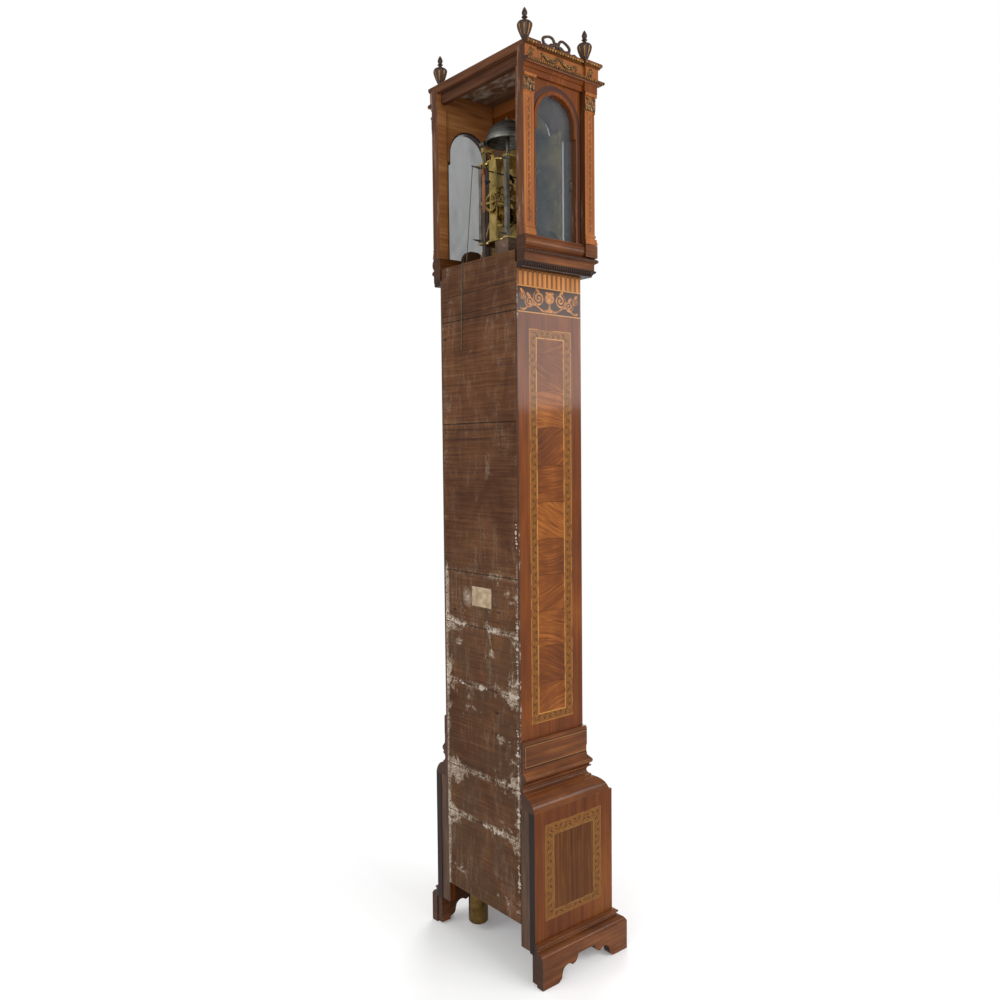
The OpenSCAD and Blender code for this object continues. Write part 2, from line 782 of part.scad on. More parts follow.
// Plate with its arch, four feet to the movement and four cast corner ornaments.
module dial_plate() {
  feet_z = [plate_in + 16, top_z - 16];
  color("#b8923f") {
    difference() {
      upright(dial_back, dial_t) dial_outline();
      rod_y(0, dial_z, 7, dial_back - 1, dial_back + dial_t + 1);
    }
    for (x = [-post_x, post_x], z = feet_z) {
      rod_y(x, z, 3.5, post_front + post_s / 2, dial_back);
      rod_y(x, z, 5.5, dial_back - 5, dial_back);
    }
    for (a = [45, 135, 225, 315])
      upright(dial_back + dial_t, 2)
        translate([0, dial_z]) rotate(a) scale(dial_half / 140) {
          translate([158, 0]) circle(r = 11);
          for (s = [-1, 1]) {
            translate([149, s * 14]) circle(r = 6.5);
            translate([144, s * 25]) circle(r = 4.5);
            translate([148, s * 7]) rotate(s * 20) square([8, 14], center = true);
            translate([147, s * 20]) circle(r = 4);
          }
        }
  }
}

module chapter_ring() {
  color("#cfcac0") {
    upright(dial_back + dial_t, 1.5)
      translate([0, dial_z])
        difference() {
          circle(d = chapter_dia, $fn = 120);
          circle(d = chapter_dia - 2 * chapter_band, $fn = 120);
        }
    upright(dial_back + dial_t, 1.5)
      translate([0, dial_low + dial_w - 12 + dial_arch_r * 0.39]) circle(r = dial_arch_r * 0.44, $fn = 96);
  }
}

// Line guides under the seat board, with the fixed hook of each line

module line_guide(d) {
  hook_x = weight_x + pulley_r;
  translate([guide_x, dy(d), guide_z]) rotate([90, 0, 0]) {
    translate([0, 0, -3]) cylinder(r = guide_r, h = 6);
    translate([0, 0, -5]) cylinder(r = guide_r + 3, h = 2);
    translate([0, 0, 3]) cylinder(r = guide_r + 3, h = 2);
  }
  block(guide_x - 6, guide_x + 6, d + 5, d + 8, guide_z - 6, seat_z);
  translate([hook_x, dy(d), guide_z]) cylinder(r = 2, h = seat_z - guide_z);
  translate([hook_x, dy(d), seat_z - 3]) cylinder(r = 5, h = 3);
}

module line_guides() {
  color("#b8923f") {
    line_guide(strike_line_d);
    mirror([1, 0, 0]) line_guide(going_line_d);
  }
}

// One drive line: a straight run from the drum down to the guide, then round the guide to the vertical.
module drive_line(d) {
  translate([0, dy(d), great_z]) rotate([0, -line_a, 0]) translate([drum_line, 0, 0]) rotate([180, 0, 0])
    cylinder(r = line_r, h = sqrt(line_run * line_run - pow(drum_line - guide_line, 2)));
  translate([guide_x, dy(d), guide_z]) rotate([90, 0, 0]) rotate_extrude(angle = line_a)
    translate([guide_line, 0]) circle(r = line_r);
}

module drive_lines() {
  color("#8a6a3c") {
    drive_line(strike_line_d);
    mirror([1, 0, 0]) drive_line(going_line_d);
  }
}

// Thin cord that is tied to the upper spur and hangs over the top of the back boards.
function unit(v) = v / norm(v);
function cord_dir(i) = unit(cord_route[min(i + 1, len(cord_route) - 1)] - cord_route[max(i - 1, 0)]);
function cord_ring(i) =
  let(t = cord_dir(i), a = unit(cross(t, [1, 0, 0])), b = cross(t, a))
  [for (k = [0:cord_sides - 1])
    let(w = 360 * k / cord_sides, p = cord_route[i] + cord_dia / 2 * (cos(w) * a + sin(w) * b))
    [p[0], dy(p[1]), p[2]]];

module repeat_cord() {
  n = len(cord_route);
  pts = [for (i = [0:n - 1]) each cord_ring(i)];
  sides = [for (i = [0:n - 2], k = [0:cord_sides - 1])
    let(k2 = (k + 1) % cord_sides, a = i * cord_sides)
    each [[a + k, a + k2, a + cord_sides + k2], [a + k, a + cord_sides + k2, a + cord_sides + k]]];
  ends = [[for (k = [cord_sides - 1:-1:0]) k], [for (k = [0:cord_sides - 1]) (n - 1) * cord_sides + k]];
  color("#5d5a45") polyhedron(points = pts, faces = concat(sides, ends));
}

// Hood

module hood_base_profile() {
  bead = 14;
  translate([0, hood_z]) {
    square([6, 15]);
    square([3, 24]);
    translate([bead - 5, 23]) circle(r = 5);
    polygon([[0, 15], [6, 15], [bead - 5, 18], [bead - 5, 28], [6, 31], [0, 31]]);
    intersection() {
      translate([-6, 46]) circle(r = 18);
      translate([0, 30]) square([bead, hood_base_h - 30]);
    }
    translate([0, hood_base_h - 3]) square([7, 3]);
  }
}

// U-shaped frame that slides over the top of the trunk, with the two pedestals of the door's posts.
module hood_base_frame() {
  rail_in = trunk_w / 2 + slide_gap;
  color("#a5612c")
    difference() {
      union() {
        both_sides() block(rail_in, hood_w / 2, 0, hood_d, hood_z, open_z);
        block(-rail_in, rail_in, trunk_d + slide_gap, hood_d, hood_z, open_z);
        three_sided(hood_w, hood_d, 14) hood_base_profile();
        both_sides() block(hood_w / 2 - 14, hood_w / 2 + post_out + 1, door_back, hood_d + 9, hood_z + 31, open_z);
      }
      translate([pivot_x, dy(pivot_d), open_z - pivot_pin_h]) cylinder(r = pivot_pin_r + fit_gap, h = pivot_pin_h + 1);
    }
}

// Outline of the side window's opening: a rectangle with small shoulders under a stilted arch.
module window_outline(grow = 0, jamb = 0) {
  stilt = 29;
  sill = open_z + window_sill;
  low = max(sill - jamb, open_z);
  translate([window_mid - window_w / 2 - jamb, low])
    square([window_w + 2 * jamb, sill + window_spring + jamb - low]);
  translate([window_mid - window_r - grow, sill]) square([2 * (window_r + grow), window_spring + stilt]);
  translate([window_mid, sill + window_spring + stilt]) circle(r = window_r + grow, $fn = 96);
}

glass_lip = 5;
glass_in = 1;
archivolt_w = 9;

module hood_side(notch) {
  post_d = 28;
  archivolt_t = 3;
  difference() {
    union() {
      sideways(-hood_w / 2, hood_side_t)
        translate([0, open_z]) square([stile_front, roof_z - roof_t - open_z]);
      block(-hood_in, -trunk_w / 2 - slide_gap, 0, post_d, open_z, entab_z + 20);
      sideways(-hood_w / 2 - archivolt_t, archivolt_t)
        intersection() {
          difference() {
            window_outline(archivolt_w, 2);
            window_outline();
          }
          translate([0, open_z]) square([stile_front, hood_open_h]);
        }
    }
    sideways(-hood_w / 2 - archivolt_t - 1, hood_side_t + archivolt_t + 2) window_outline();
    sideways(-hood_in - glass_in - glass_t, glass_in + glass_t + 1) window_outline(glass_lip, glass_lip);
    if (notch)
      block(-hood_in - pocket_in, -hood_in + 1, mask_d, stile_front - 2,
            catch_z - cam_len - catch_gap, catch_z + cam_len + catch_gap);
  }
}

module hood_sides() {
  color("#a5612c") {
    hood_side(true);
    mirror([1, 0, 0]) hood_side(false);
  }
}

module hood_side_glass() {
  color("#9fb0b8", 0.35)
    both_sides()
      sideways(-hood_in - glass_in - glass_t, glass_t) window_outline(glass_lip - 0.5, glass_lip - 0.5);
}

// Shallow pilasters with base and capital at the back corners of the hood.
module hood_pilasters() {
  wide = 34;
  cap_h = 43;
  color("#b06a30")
    both_sides() {
      block(hood_w / 2, hood_w / 2 + 6, 0, wide, open_z, entab_z);
      block(hood_w / 2, hood_w / 2 + 9, 0, wide + 3, open_z, open_z + 8);
      block(hood_w / 2, hood_w / 2 + 8, 0, wide + 2, open_z + 8, open_z + 15);
      block(hood_w / 2, hood_w / 2 + 7.5, 0, wide + 1.5, open_z + 19, open_z + 23);
      block(hood_w / 2, hood_w / 2 + 7.5, 0, wide + 1.5, entab_z - cap_h, entab_z - cap_h + 4);
      block(hood_w / 2, hood_w / 2 + 8, 0, wide + 2, entab_z - cap_h + 9, entab_z - 9);
      block(hood_w / 2, hood_w / 2 + 11, 0, wide + 5, entab_z - 7, entab_z);
    }
}

entab_out = 6;
entab_d = hood_d + 9;
corner_out = 7;
rear_block_d = 38;

// Architrave and frieze: side boards, the front beam over the door and two corner blocks.
module hood_entablature() {
  color("#a5612c")
    difference() {
      union() {
        both_sides() block(hood_w / 2, hood_w / 2 + entab_out, 0, door_back, entab_z, roof_z - roof_t);
        block(-hood_w / 2 - entab_out, hood_w / 2 + entab_out, door_back, entab_d, entab_z, roof_z - roof_t);
        three_sided(hood_w + 2 * entab_out, entab_d, 6)
          translate([0, entab_z + 15]) polygon([[0, 0], [3, 0], [3, 3], [6, 6], [6, 8], [0, 8]]);
        both_sides()
          block(hood_in, hood_w / 2 + post_out + 1, door_back, entab_d + 1, entab_z, entab_z + 23);
        both_sides() {
          block(hood_in, hood_w / 2 + entab_out + corner_out, door_back + 5, entab_d + corner_out,
                entab_z + 35, roof_z - roof_t);
          block(hood_w / 2, hood_w / 2 + entab_out + corner_out, 0, rear_block_d, entab_z + 35, roof_z - roof_t);
        }
      }
      translate([pivot_x, dy(pivot_d), entab_z - 1]) cylinder(r = pivot_pin_r + fit_gap, h = pivot_pin_h + 1);
    }
}

cornice_tip = 19;

// Corona over the architrave: a cove under a projecting fillet.
module corona_profile() {
  translate([0, entab_z + 23]) {
    difference() {
      square([cornice_tip - 2, 8]);
      translate([cornice_tip - 1, 0]) circle(r = 8);
    }
    translate([0, 6]) square([cornice_tip, 3]);
    polygon([[0, 9], [cornice_tip, 9], [cornice_tip - 5, 12], [0, 12]]);
  }
}

// Crowning bead and fillet round the edge of the roof.
module crown_profile() {
  translate([0, roof_z - roof_t]) {
    square([3, 5]);
    translate([4, 7]) circle(r = 4);
    square([4, 11]);
    translate([0, 8]) square([8, 4]);
  }
}

// The crown breaks forward round the blocks over the pilasters and the door posts.
module crown_corners() {
  wide = hood_w + 2 * (entab_out + corner_out);
  deep = entab_d + corner_out;
  intersection() {
    union() {
      three_sided(wide, deep, cornice_tip) crown_profile();
      both_sides() block(hood_w / 2 + entab_out, wide / 2, 0, deep, roof_z - roof_t, roof_z);
      block(-wide / 2, wide / 2, entab_d, deep, roof_z - roof_t, roof_z);
    }
    both_sides() {
      block(hood_in, hood_w, -1, rear_block_d + 8, roof_z - roof_t - 1, roof_z + 1);
      block(hood_in - 8, hood_w, door_back - 3, hood_d * 2, roof_z - roof_t - 1, roof_z + 1);
    }
  }
}

module hood_cornice() {
  color("#b06a30") {
    three_sided(hood_w + 2 * entab_out, entab_d, cornice_tip) {
      corona_profile();
      crown_profile();
    }
    crown_corners();
  }
}

// Roof board with the deep rail under its rear edge.
module hood_roof() {
  rail_t = 14;
  rail_h = 34;
  color("#5a3a28") {
    block(-hood_w / 2 - entab_out, hood_w / 2 + entab_out, 0, entab_d, roof_z - roof_t, roof_z);
    block(-hood_in, hood_in, 0, rail_t, roof_z - roof_t - 8, roof_z - roof_t);
    block(-hood_in, hood_in, rail_t + 2, 2 * rail_t + 2, roof_z - roof_t - rail_h, roof_z - roof_t);
  }
}

// Places of the finials: left or right of the middle, and depth from the back
finial_places = [[hood_w / 2 - 9, finial_dia / 2 + 0.5], [hood_w / 2 - 5, hood_d - 15]];

// Turned urn on a small foot: a bowl that swells upwards, a lid, a collar and a bud.
module finial() {
  scale([finial_dia / 38, finial_dia / 38, finial_h / 84])
    rotate_extrude()
      polygon([[0, 0], [8, 0], [8, 2], [5, 4], [5, 6], [9, 14], [14, 25], [18, 36], [19, 41], [18, 45], [14, 48],
               [8, 50], [6, 52], [6, 54], [8, 55], [8, 57], [4, 58], [4, 60], [6, 63], [7.5, 68], [7, 73], [4, 80],
               [1, 84], [0, 84]]);
}

module finials() {
  color("#6d4a22")
    both_sides()
      for (p = finial_places) translate([p[0], dy(p[1]), roof_z]) finial();
}

crest_w = 150;
crest_t = 7;

// Ribbon bow: two open loops, a knot and two trailing ends, drawn about its middle.
module ribbon(t) {
  scale([crest_w / 150, crest_w / 150, 1]) linear_extrude(t) {
    for (s = [-1, 1]) {
      difference() {
        translate([s * 23, 15]) circle(r = 15);
        translate([s * 24, 15]) circle(r = 9);
      }
      difference() {
        translate([s * 52, 2]) circle(r = 20);
        translate([s * 52, -3]) circle(r = 19);
        translate([s * 52 - 30, -40]) square([60, 40]);
      }
      translate([s * 58, 10]) square([26, 6], center = true);
    }
    translate([0, 14]) circle(r = 9);
    translate([-12, 0]) square([24, 8]);
    translate([-75, 0]) square([150, 4]);
  }
}

module crests() {
  color("#8a5a26") {
    both_sides()
      translate([hood_w / 2 - 2, dy(window_mid + 4), roof_z]) rotate([90, 0, 90]) ribbon(crest_t);
    translate([0, dy(hood_d - 2), roof_z]) rotate([90, 0, 0]) ribbon(crest_t);
  }
}

mask_d = 184;
mask_t = 10;

// Opening of the mask and of the door in front of the dial.
module sight_outline(grow = 0) {
  half = dial_half - 6 + grow;
  arch_r = dial_arch_r - 6 + grow;
  translate([-half, dial_low + 6 - grow]) square([2 * half, dial_w - 12 + 2 * grow]);
  translate([0, dial_low + dial_w - 12]) circle(r = arch_r, $fn = 96);
}

module dial_mask() {
  color("#4a3324")
    difference() {
      upright(mask_d, mask_t)
        difference() {
          translate([-hood_in, open_z]) square([2 * hood_in, hood_open_h]);
          sight_outline();
        }
      block(-hood_in - 1, catch_x + cam_tail + catch_gap, mask_d - 1, mask_d + mask_t + 1,
            catch_z - cam_len - catch_gap, catch_z + cam_len + catch_gap);
    }
}

// Hood door: frame with an arched opening and the two corner posts that turn with it.

// The catch's pin, its cam and the pocket that the cam turns into
stile_w = hood_in - dial_half + 6;
catch_in = stile_w / 4;
knob_r = stile_w / 4;
sight_bead = stile_w * 0.35;
catch_x = -hood_in + catch_in;
catch_z = dial_z;
cam_len = 13;
cam_half = 3;
cam_tail = 4;
catch_gap = 2;
pocket_in = cam_len + catch_gap - catch_in;

module door_post() {
  p = hood_w / 2 + post_out;
  block(p - door_post + 1, p, door_back, hood_d, door_z, door_z + door_h);
  block(p - door_post + 1, p + 2, door_back, hood_d + 8, door_z, door_z + 7);
  block(p - door_post + 1, p + 1.5, door_back, hood_d + 6, door_z + 7, door_z + 14);
  block(p - door_post + 1, p + 1, door_back, hood_d + 3, door_z + 18, door_z + 23);
  block(p - door_post + 1, p + 1, door_back, hood_d + 2, door_z + door_h - 50, door_z + door_h - 45);
  block(p - door_post + 1, p + 1.5, door_back, hood_d + 3, door_z + door_h - 39, door_z + door_h - 11);
  block(p - door_post + 1, p + 3, door_back, hood_d + 7, door_z + door_h - 8, door_z + door_h);
}

module hood_door_frame() {
  frame_x = hood_w / 2 + post_out - door_post + 1;
  color("#a5612c")
    difference() {
      union() {
        both_sides() door_post();
        upright(door_back + 2, door_frame_t)
          translate([-frame_x, door_z]) square([2 * frame_x, door_h]);
        upright(door_back + 2 + door_frame_t, 2)
          difference() {
            sight_outline(sight_bead);
            sight_outline(3);
          }
        translate([pivot_x, dy(pivot_d), door_z - pivot_pin_h + 1])
          cylinder(r = pivot_pin_r, h = door_h + 2 * pivot_pin_h - 2);
      }
      upright(door_back, door_frame_t + 6) sight_outline(3);
      upright(door_back, 6 + glass_t) sight_outline(3 + glass_lip);
      rod_y(catch_x, catch_z, cam_half + fit_gap, door_back - 1, hood_d);
    }
}

module hood_door_glass() {
  color("#9fb0b8", 0.35)
    upright(door_back + 6, glass_t) sight_outline(3 + glass_lip - 0.5);
}

// Turn button: knob in front, cam behind, shown unlocked.
module hood_catch() {
  front = door_back + 2 + door_frame_t;
  cam_d = mask_d + 4;
  color("#b8923f") {
    rod_y(catch_x, catch_z, cam_half, cam_d, front + 1);
    rod_y(catch_x, catch_z, knob_r * 0.65, front + 0.2, front + 4);
    rod_y(catch_x, catch_z, knob_r, front + 4, front + 11);
    block(catch_x - cam_half, catch_x + cam_half, cam_d, cam_d + 3, catch_z - cam_tail, catch_z + cam_len);
  }
}

// Wheels of the going train

module drum(d0) {
  flange = 21;
  difference() {
    union() {
      rod_y(0, great_z, drum_r, d0, d0 + 16);
      rod_y(0, great_z, flange, d0, d0 + 2);
      rod_y(0, great_z, flange, d0 + 14, d0 + 16);
    }
    rod_y(0, great_z, arbor_r + fit_gap, d0 - 1, d0 + 17);
  }
}

module going_great_wheel() {
  color("#b8923f") {
    wheel_at(great_z, 105, 3) crossed_wheel(great_n, mod_great, 5, 10, 6, 90);
    rod_y(0, great_z, 5, 103.5, 109.7);
    rod_y(0, great_z, arbor_r, strap_mid + strap_t + 0.2, 156);
    rod_y(0, great_z, pivot_r, strap_mid + strap_t / 2 + 0.1, strap_mid + strap_t + 1);
    wheel_at(great_z, 146, 2.5) crossed_wheel(motion_n, mod_motion, 4, 7, 5, 90);
    wheel_at(great_z, 151, 4) gear(hour_pin_n, mod_hour, 90);
  }
}

module going_drum() {
  color("#8f7434") drum(going_line_d - 8);
}

module second_wheel() {
  color("#b8923f") {
    arbor(0, second_z, strap_mid + strap_t, strap_front);
    wheel_at(second_z, 128, 2.5) crossed_wheel(second_n, mod_second, 3, 5, 4, 90);
    wheel_at(second_z, 103, 7) gear(second_pin_n, mod_great, 90 + 180 / second_pin_n);
  }
}

// Escape wheel with thirty pointed teeth.
module escape_wheel() {
  root = escape_r - 4;
  color("#b8923f") {
    arbor(0, escape_z, strap_mid + strap_t, strap_front);
    wheel_at(escape_z, 112, 2)
      difference() {
        polygon([for (i = [0:escape_n - 1], k = [0:2])
          let(a = 360 / escape_n * (i + [0, 0.25, 0.6][k]) + 90 + 180 / escape_n,
              q = [root, escape_r, root][k])
          [q * cos(a), q * sin(a)]]);
        difference() {
          circle(r = root - 2.5);
          circle(r = 5);
          square([2 * root, 3], center = true);
          square([3, 2 * root], center = true);
        }
      }
    wheel_at(escape_z, 126, 7) gear(escape_pin_n, mod_second, 90 + 180 / escape_pin_n);
  }
}

// Anchor over the escape wheel, its long arbor, and the crutch with a fork round the pendulum rod.
module anchor_and_crutch() {
  drop = 23;
  span = 17;
  fork_z = anchor_z - 30;
  fork_x = rod_w / 2 + joint_gap;
  crutch_d = 40;
  color("#4a4743") {
    rod_y(0, anchor_z, arbor_r, crutch_d - 2, strap_front - 0.2);
    rod_y(0, anchor_z, pivot_r, strap_front - 1, strap_front + 3);
    wheel_at(anchor_z, 110, 6) {
      circle(r = 5);
      for (s = [-1, 1]) {
        polygon([[0, 4], [0, -4], [s * (span - 3), -drop + 8], [s * (span - 2), -drop], [s * (span + 2), -drop - 1],
                 [s * (span + 2), -drop + 9]]);
      }
    }
    block(-2, 2, crutch_d - 1.5, crutch_d + 1.5, fork_z - 2, anchor_z);
    block(-fork_x - 3, fork_x + 3, crutch_d - 3.5, crutch_d + 1.5, fork_z - 3, fork_z + 3);
    for (s = [-1, 1])
      block(s * (fork_x + 1.5) - 1.5, s * (fork_x + 1.5) + 1.5, pend_d - 4, crutch_d, fork_z - 2, fork_z + 2);
  }
}

// Pierced hand: a tapering shaft, an open ring and an arrow tip, pointing up.
module hand_shape(len, ring_r, w) {
  difference() {
    union() {
      circle(r = 9);
      polygon([[-w, 0], [w, 0], [0.8, len - 4], [-0.8, len - 4]]);
      translate([0, len * 0.62]) circle(r = ring_r);
      polygon([[-3, len * 0.62 + ring_r - 1], [3, len * 0.62 + ring_r - 1], [0, len]]);
    }
    for (s = [-1, 1]) translate([s * ring_r * 0.45, len * 0.62]) circle(r = ring_r * 0.36);
  }
}

module minute_hand() {
  color("#3a3632") {
    difference() {
      union() {
        wheel_at(dial_z, 146, 2.5) crossed_wheel(motion_n, mod_motion, 4, 7, 5, 90 + 180 / motion_n);
        rod_y(0, dial_z, 3, 146, 182);
        wheel_at(dial_z, 181, 1.5) rotate(60) hand_shape(minute_len, 7, 3);
        rod_y(0, dial_z, 5, 182, 183.5);
      }
      rod_y(0, dial_z, 1.5 + fit_gap, 140, 181);
    }
  }
}

module hour_hand() {
  color("#3a3632")
    difference() {
      union() {
        wheel_at(dial_z, 152, 2.5) crossed_wheel(hour_n, mod_hour, 5, 9, 6, 90 + 180 / hour_n);
        rod_y(0, dial_z, 5, 152, 178.5);
        wheel_at(dial_z, 177, 1.5) rotate(-60) hand_shape(hour_len, 10, 3.5);
      }
      rod_y(0, dial_z, 3 + fit_gap, 150, 180);
    }
}

// Wheels of the striking train

module strike_great_wheel() {
  pin_ring = 24;
  pins = 10;
  color("#b8923f") {
    wheel_at(great_z, 84, 3) crossed_wheel(strike_n, mod_great, 5, 10, 6, 90);
    rod_y(0, great_z, 5, 80.5, 90);
    rod_y(0, great_z, arbor_r, 52, strap_mid - 0.2);
    rod_y(0, great_z, 1.5, 46, 52);
    rod_y(0, great_z, pivot_r, strap_mid - 1, strap_mid + strap_t / 2 - 0.1);
    for (i = [0:pins - 1]) {
      a = 360 / pins * i + 14;
      rod_y(pin_ring * cos(a), great_z + pin_ring * sin(a), 1.2, 78, 85);
    }
    wheel_at(great_z, 46, 5) gear(count_pin_n, mod_count, 90);
  }
}

module strike_drum() {
  color("#8f7434") drum(strike_line_d - 7);
}

// Count wheel: a notched rim in front of the gear ring that the great arbor's pinion drives.
module count_wheel() {
  notch_at = [0, 3, 7, 12, 18, 25, 33, 42, 52, 63, 75];
  rim_r = 22.5;
  color("#b8923f")
    difference() {
      union() {
        wheel_at(count_z, 49.5, 2) crossed_wheel(count_n, mod_count, 4, 6, 5, 90 + 180 / count_n);
        wheel_at(count_z, 51.5, 1.5)
          difference() {
            circle(r = rim_r);
            circle(r = rim_r - 5);
            for (k = notch_at) rotate(k * 360 / 78) translate([rim_r, 0]) square([5, 2.4], center = true);
          }
        rod_y(0, count_z, 4, 49.5, 55);
      }
      rod_y(0, count_z, 1.6 + fit_gap, 45, 56);
    }
}

module hoop_wheel() {
  color("#b8923f") {
    arbor(0, hoop_z, strap_back + strap_t, strap_mid);
    wheel_at(hoop_z, 90.5, 2.5) crossed_wheel(hoop_n, mod_fine, 2.5, 5, 4, 90);
    wheel_at(hoop_z, 82, 7) gear(hoop_pin_n, mod_great, 90 + 180 / hoop_pin_n);
  }
}

module warning_wheel() {
  color("#b8923f") {
    arbor(0, warn_z, strap_back + strap_t, strap_mid, pivot_r);
    wheel_at(warn_z, 71, 2) crossed_wheel(warn_n, mod_fine, 2.5, 5, 3.5, 90);
    wheel_at(warn_z, 88, 7) gear(warn_pin_n, mod_fine, 90 + 180 / warn_pin_n);
  }
}

module fly() {
  color("#b8923f") {
    arbor(0, fly_z, strap_back + strap_t, strap_mid, pivot_r);
    wheel_at(fly_z, 69, 7) gear(fly_pin_n, mod_fine, 90 + 180 / fly_pin_n);
    block(-12, 12, 79, 86, fly_z - 0.6, fly_z + 0.6);
    rod_y(0, fly_z, 3, 79, 86);
  }
}

// Hammer outside the bell's rim; its tail reaches down to the circle of the great wheel's pins.
module hammer() {
  head_z = bell_z + 9;
  head_x = sqrt(bell_r * bell_r - pow(bell_d - hammer_d, 2)) + 7;
  color("#3d3a37") {
    arbor(hammer_x, hammer_z, strap_back + strap_t, strap_mid);
    rod_y(hammer_x, hammer_z, 4.5, hammer_d - 3, hammer_d + 3);
    upright(hammer_d - 1.5, 3)
      polygon([[hammer_x - 1.5, hammer_z], [hammer_x + 2, hammer_z], [head_x + 4, head_z], [head_x + 1, head_z]]);
    upright(hammer_d - 1.5, 3)
      polygon([[hammer_x, hammer_z + 2], [hammer_x, hammer_z - 2], [24, great_z + 13], [23, great_z + 15.5]]);
    translate([head_x - 1, dy(hammer_d), head_z]) rotate([0, 90, 0]) cylinder(r = 6, h = 18);
  }
}

// Pendulum

bob_z = anchor_z - pendulum_len;

module pendulum_rod() {
  slit = spring_t / 2 + 0.5;
  color("#8a5a3a")
    difference() {
      union() {
        block(-rod_w / 2, rod_w / 2, pend_d - rod_t / 2, pend_d + rod_t / 2, bob_z - bob_dia / 2 - 22, anchor_z);
        block(-rod_w / 2 + 1, rod_w / 2 - 1, pend_d - 4, pend_d + 4, anchor_z - 12, anchor_z + 1);
      }
      block(-slit, slit, pend_d - 3 - joint_gap, pend_d + 3 + joint_gap, anchor_z - 6, anchor_z + 2);
    }
}

// Lens-shaped bob with the rating nut under it.
module pendulum_bob() {
  lens_r = (pow(bob_dia / 2, 2) + pow(bob_t / 2, 2)) / bob_t;
  color("#b8923f") {
    difference() {
      translate([0, dy(pend_d), bob_z]) rotate([90, 0, 0])
        intersection() {
          rotate_extrude($fn = 96)
            intersection() {
              translate([0, lens_r - bob_t / 2]) circle(r = lens_r, $fn = 360);
              translate([0, -lens_r + bob_t / 2]) circle(r = lens_r, $fn = 360);
              translate([0, -bob_t]) square([bob_dia, 2 * bob_t]);
            }
        }
      block(-rod_w / 2 - fit_gap, rod_w / 2 + fit_gap, pend_d - rod_t / 2 - fit_gap, pend_d + rod_t / 2 + fit_gap,
            bob_z - bob_dia, bob_z + bob_dia);
    }
    difference() {
      translate([0, dy(pend_d), bob_z - bob_dia / 2 - 8]) cylinder(r = 10, h = 7);
      block(-rod_w / 2 - fit_gap, rod_w / 2 + fit_gap, pend_d - rod_t / 2 - fit_gap, pend_d + rod_t / 2 + fit_gap,
            bob_z - bob_dia, bob_z + bob_dia);
    }
  }
}

// Weights, with the stirrup, the pulley's axle and the stretch of line under the pulley

module weight(d) {
  r = weight_dia / 2;
  cap = 6;
  top = weight_rest + weight_h;
  cheek_in = 4 + joint_gap;
  translate([weight_x, dy(d), 0]) {
    translate([0, 0, weight_rest]) cylinder(r1 = r - 3, r2 = r, h = 4, $fn = 96);
    translate([0, 0, weight_rest + 4]) cylinder(r = r, h = weight_h - 4, $fn = 96);
    translate([0, 0, top]) cylinder(r1 = r - 2, r2 = r - 10, h = cap, $fn = 96);
    translate([0, 0, top + cap]) cylinder(r = 3, h = pulley_rest - pulley_r - 4 - top - cap - 3);
    for (s = [-1, 1])
      translate([0, s * (cheek_in + 1), pulley_rest]) rotate([90, 0, 0]) {
        cylinder(r = 7, h = 2, center = true);
        translate([0, -(pulley_r + 8) / 2, 0]) cube([8, pulley_r + 8, 2], center = true);
      }
    translate([-4, -cheek_in - 2, pulley_rest - pulley_r - 8]) cube([8, 2 * cheek_in + 4, 4]);
    translate([0, 0, pulley_rest]) rotate([90, 0, 0]) cylinder(r = 2, h = 2 * cheek_in + 4, center = true);
  }
}

module line_bight(d) {
  translate([weight_x, dy(d), pulley_rest]) rotate([90, 0, 0]) rotate([0, 0, 180]) rotate_extrude(angle = 180)
    translate([pulley_r, 0]) circle(r = line_r);
}

module strike_weight() {
  color("#b8923f") weight(strike_line_d);
  color("#8a6a3c") line_bight(strike_line_d);
}

module going_weight() {
  color("#b8923f") mirror([1, 0, 0]) weight(going_line_d);
  color("#8a6a3c") mirror([1, 0, 0]) line_bight(going_line_d);
}

module weight_pulley(d) {
  groove = pulley_r - line_r - joint_gap;
  difference() {
    union() {
      rod_y(weight_x, pulley_rest, groove, d - 4, d + 4);
      rod_y(weight_x, pulley_rest, groove + 3, d - 4, d - 2.2);
      rod_y(weight_x, pulley_rest, groove + 3, d + 2.2, d + 4);
    }
    rod_y(weight_x, pulley_rest, 2 + fit_gap, d - 5, d + 5);
  }
}

module strike_pulley() {
  color("#b8923f") weight_pulley(strike_line_d);
}

module going_pulley() {
  color("#b8923f") mirror([1, 0, 0]) weight_pulley(going_line_d);
}

module falls(d) {
  for (x = [fall_in, weight_x + pulley_r])
    translate([x, dy(d), pulley_rest]) cylinder(r = line_r, h = guide_z - pulley_rest);
}

module strike_falls() {
  color("#8a6a3c") falls(strike_line_d);
}

module going_falls() {
  color("#8a6a3c") mirror([1, 0, 0]) falls(going_line_d);
}

back_boards();
trunk_side_left();
trunk_side_right();
trunk_front_frame();
waist_moulding();
base_panels();
base_moulding();
bracket_feet();
throat_moulding();
seat_board();
movement_plates();
corner_posts();
movement_straps();
bell();
bell_stand();
pendulum_cock();
dial_plate();
chapter_ring();
line_guides();
drive_lines();
repeat_cord();
hood_base_frame();
hood_sides();
trunk_hinge_plates();
hood_side_glass();
hood_pilasters();
hood_entablature();
hood_cornice();
hood_roof();
finials();
crests();
dial_mask();
hood_door_frame();
hood_door_glass();
hood_catch();
trunk_door();
trunk_door_fittings();
trunk_lock_bolt();
going_great_wheel();
going_drum();
second_wheel();
escape_wheel();
anchor_and_crutch();
minute_hand();
hour_hand();
strike_great_wheel();
strike_drum();
count_wheel();
hoop_wheel();
warning_wheel();
fly();
hammer();
pendulum_rod();
pendulum_bob();
strike_weight();
going_weight();
strike_pulley();
going_pulley();
strike_falls();
going_falls();
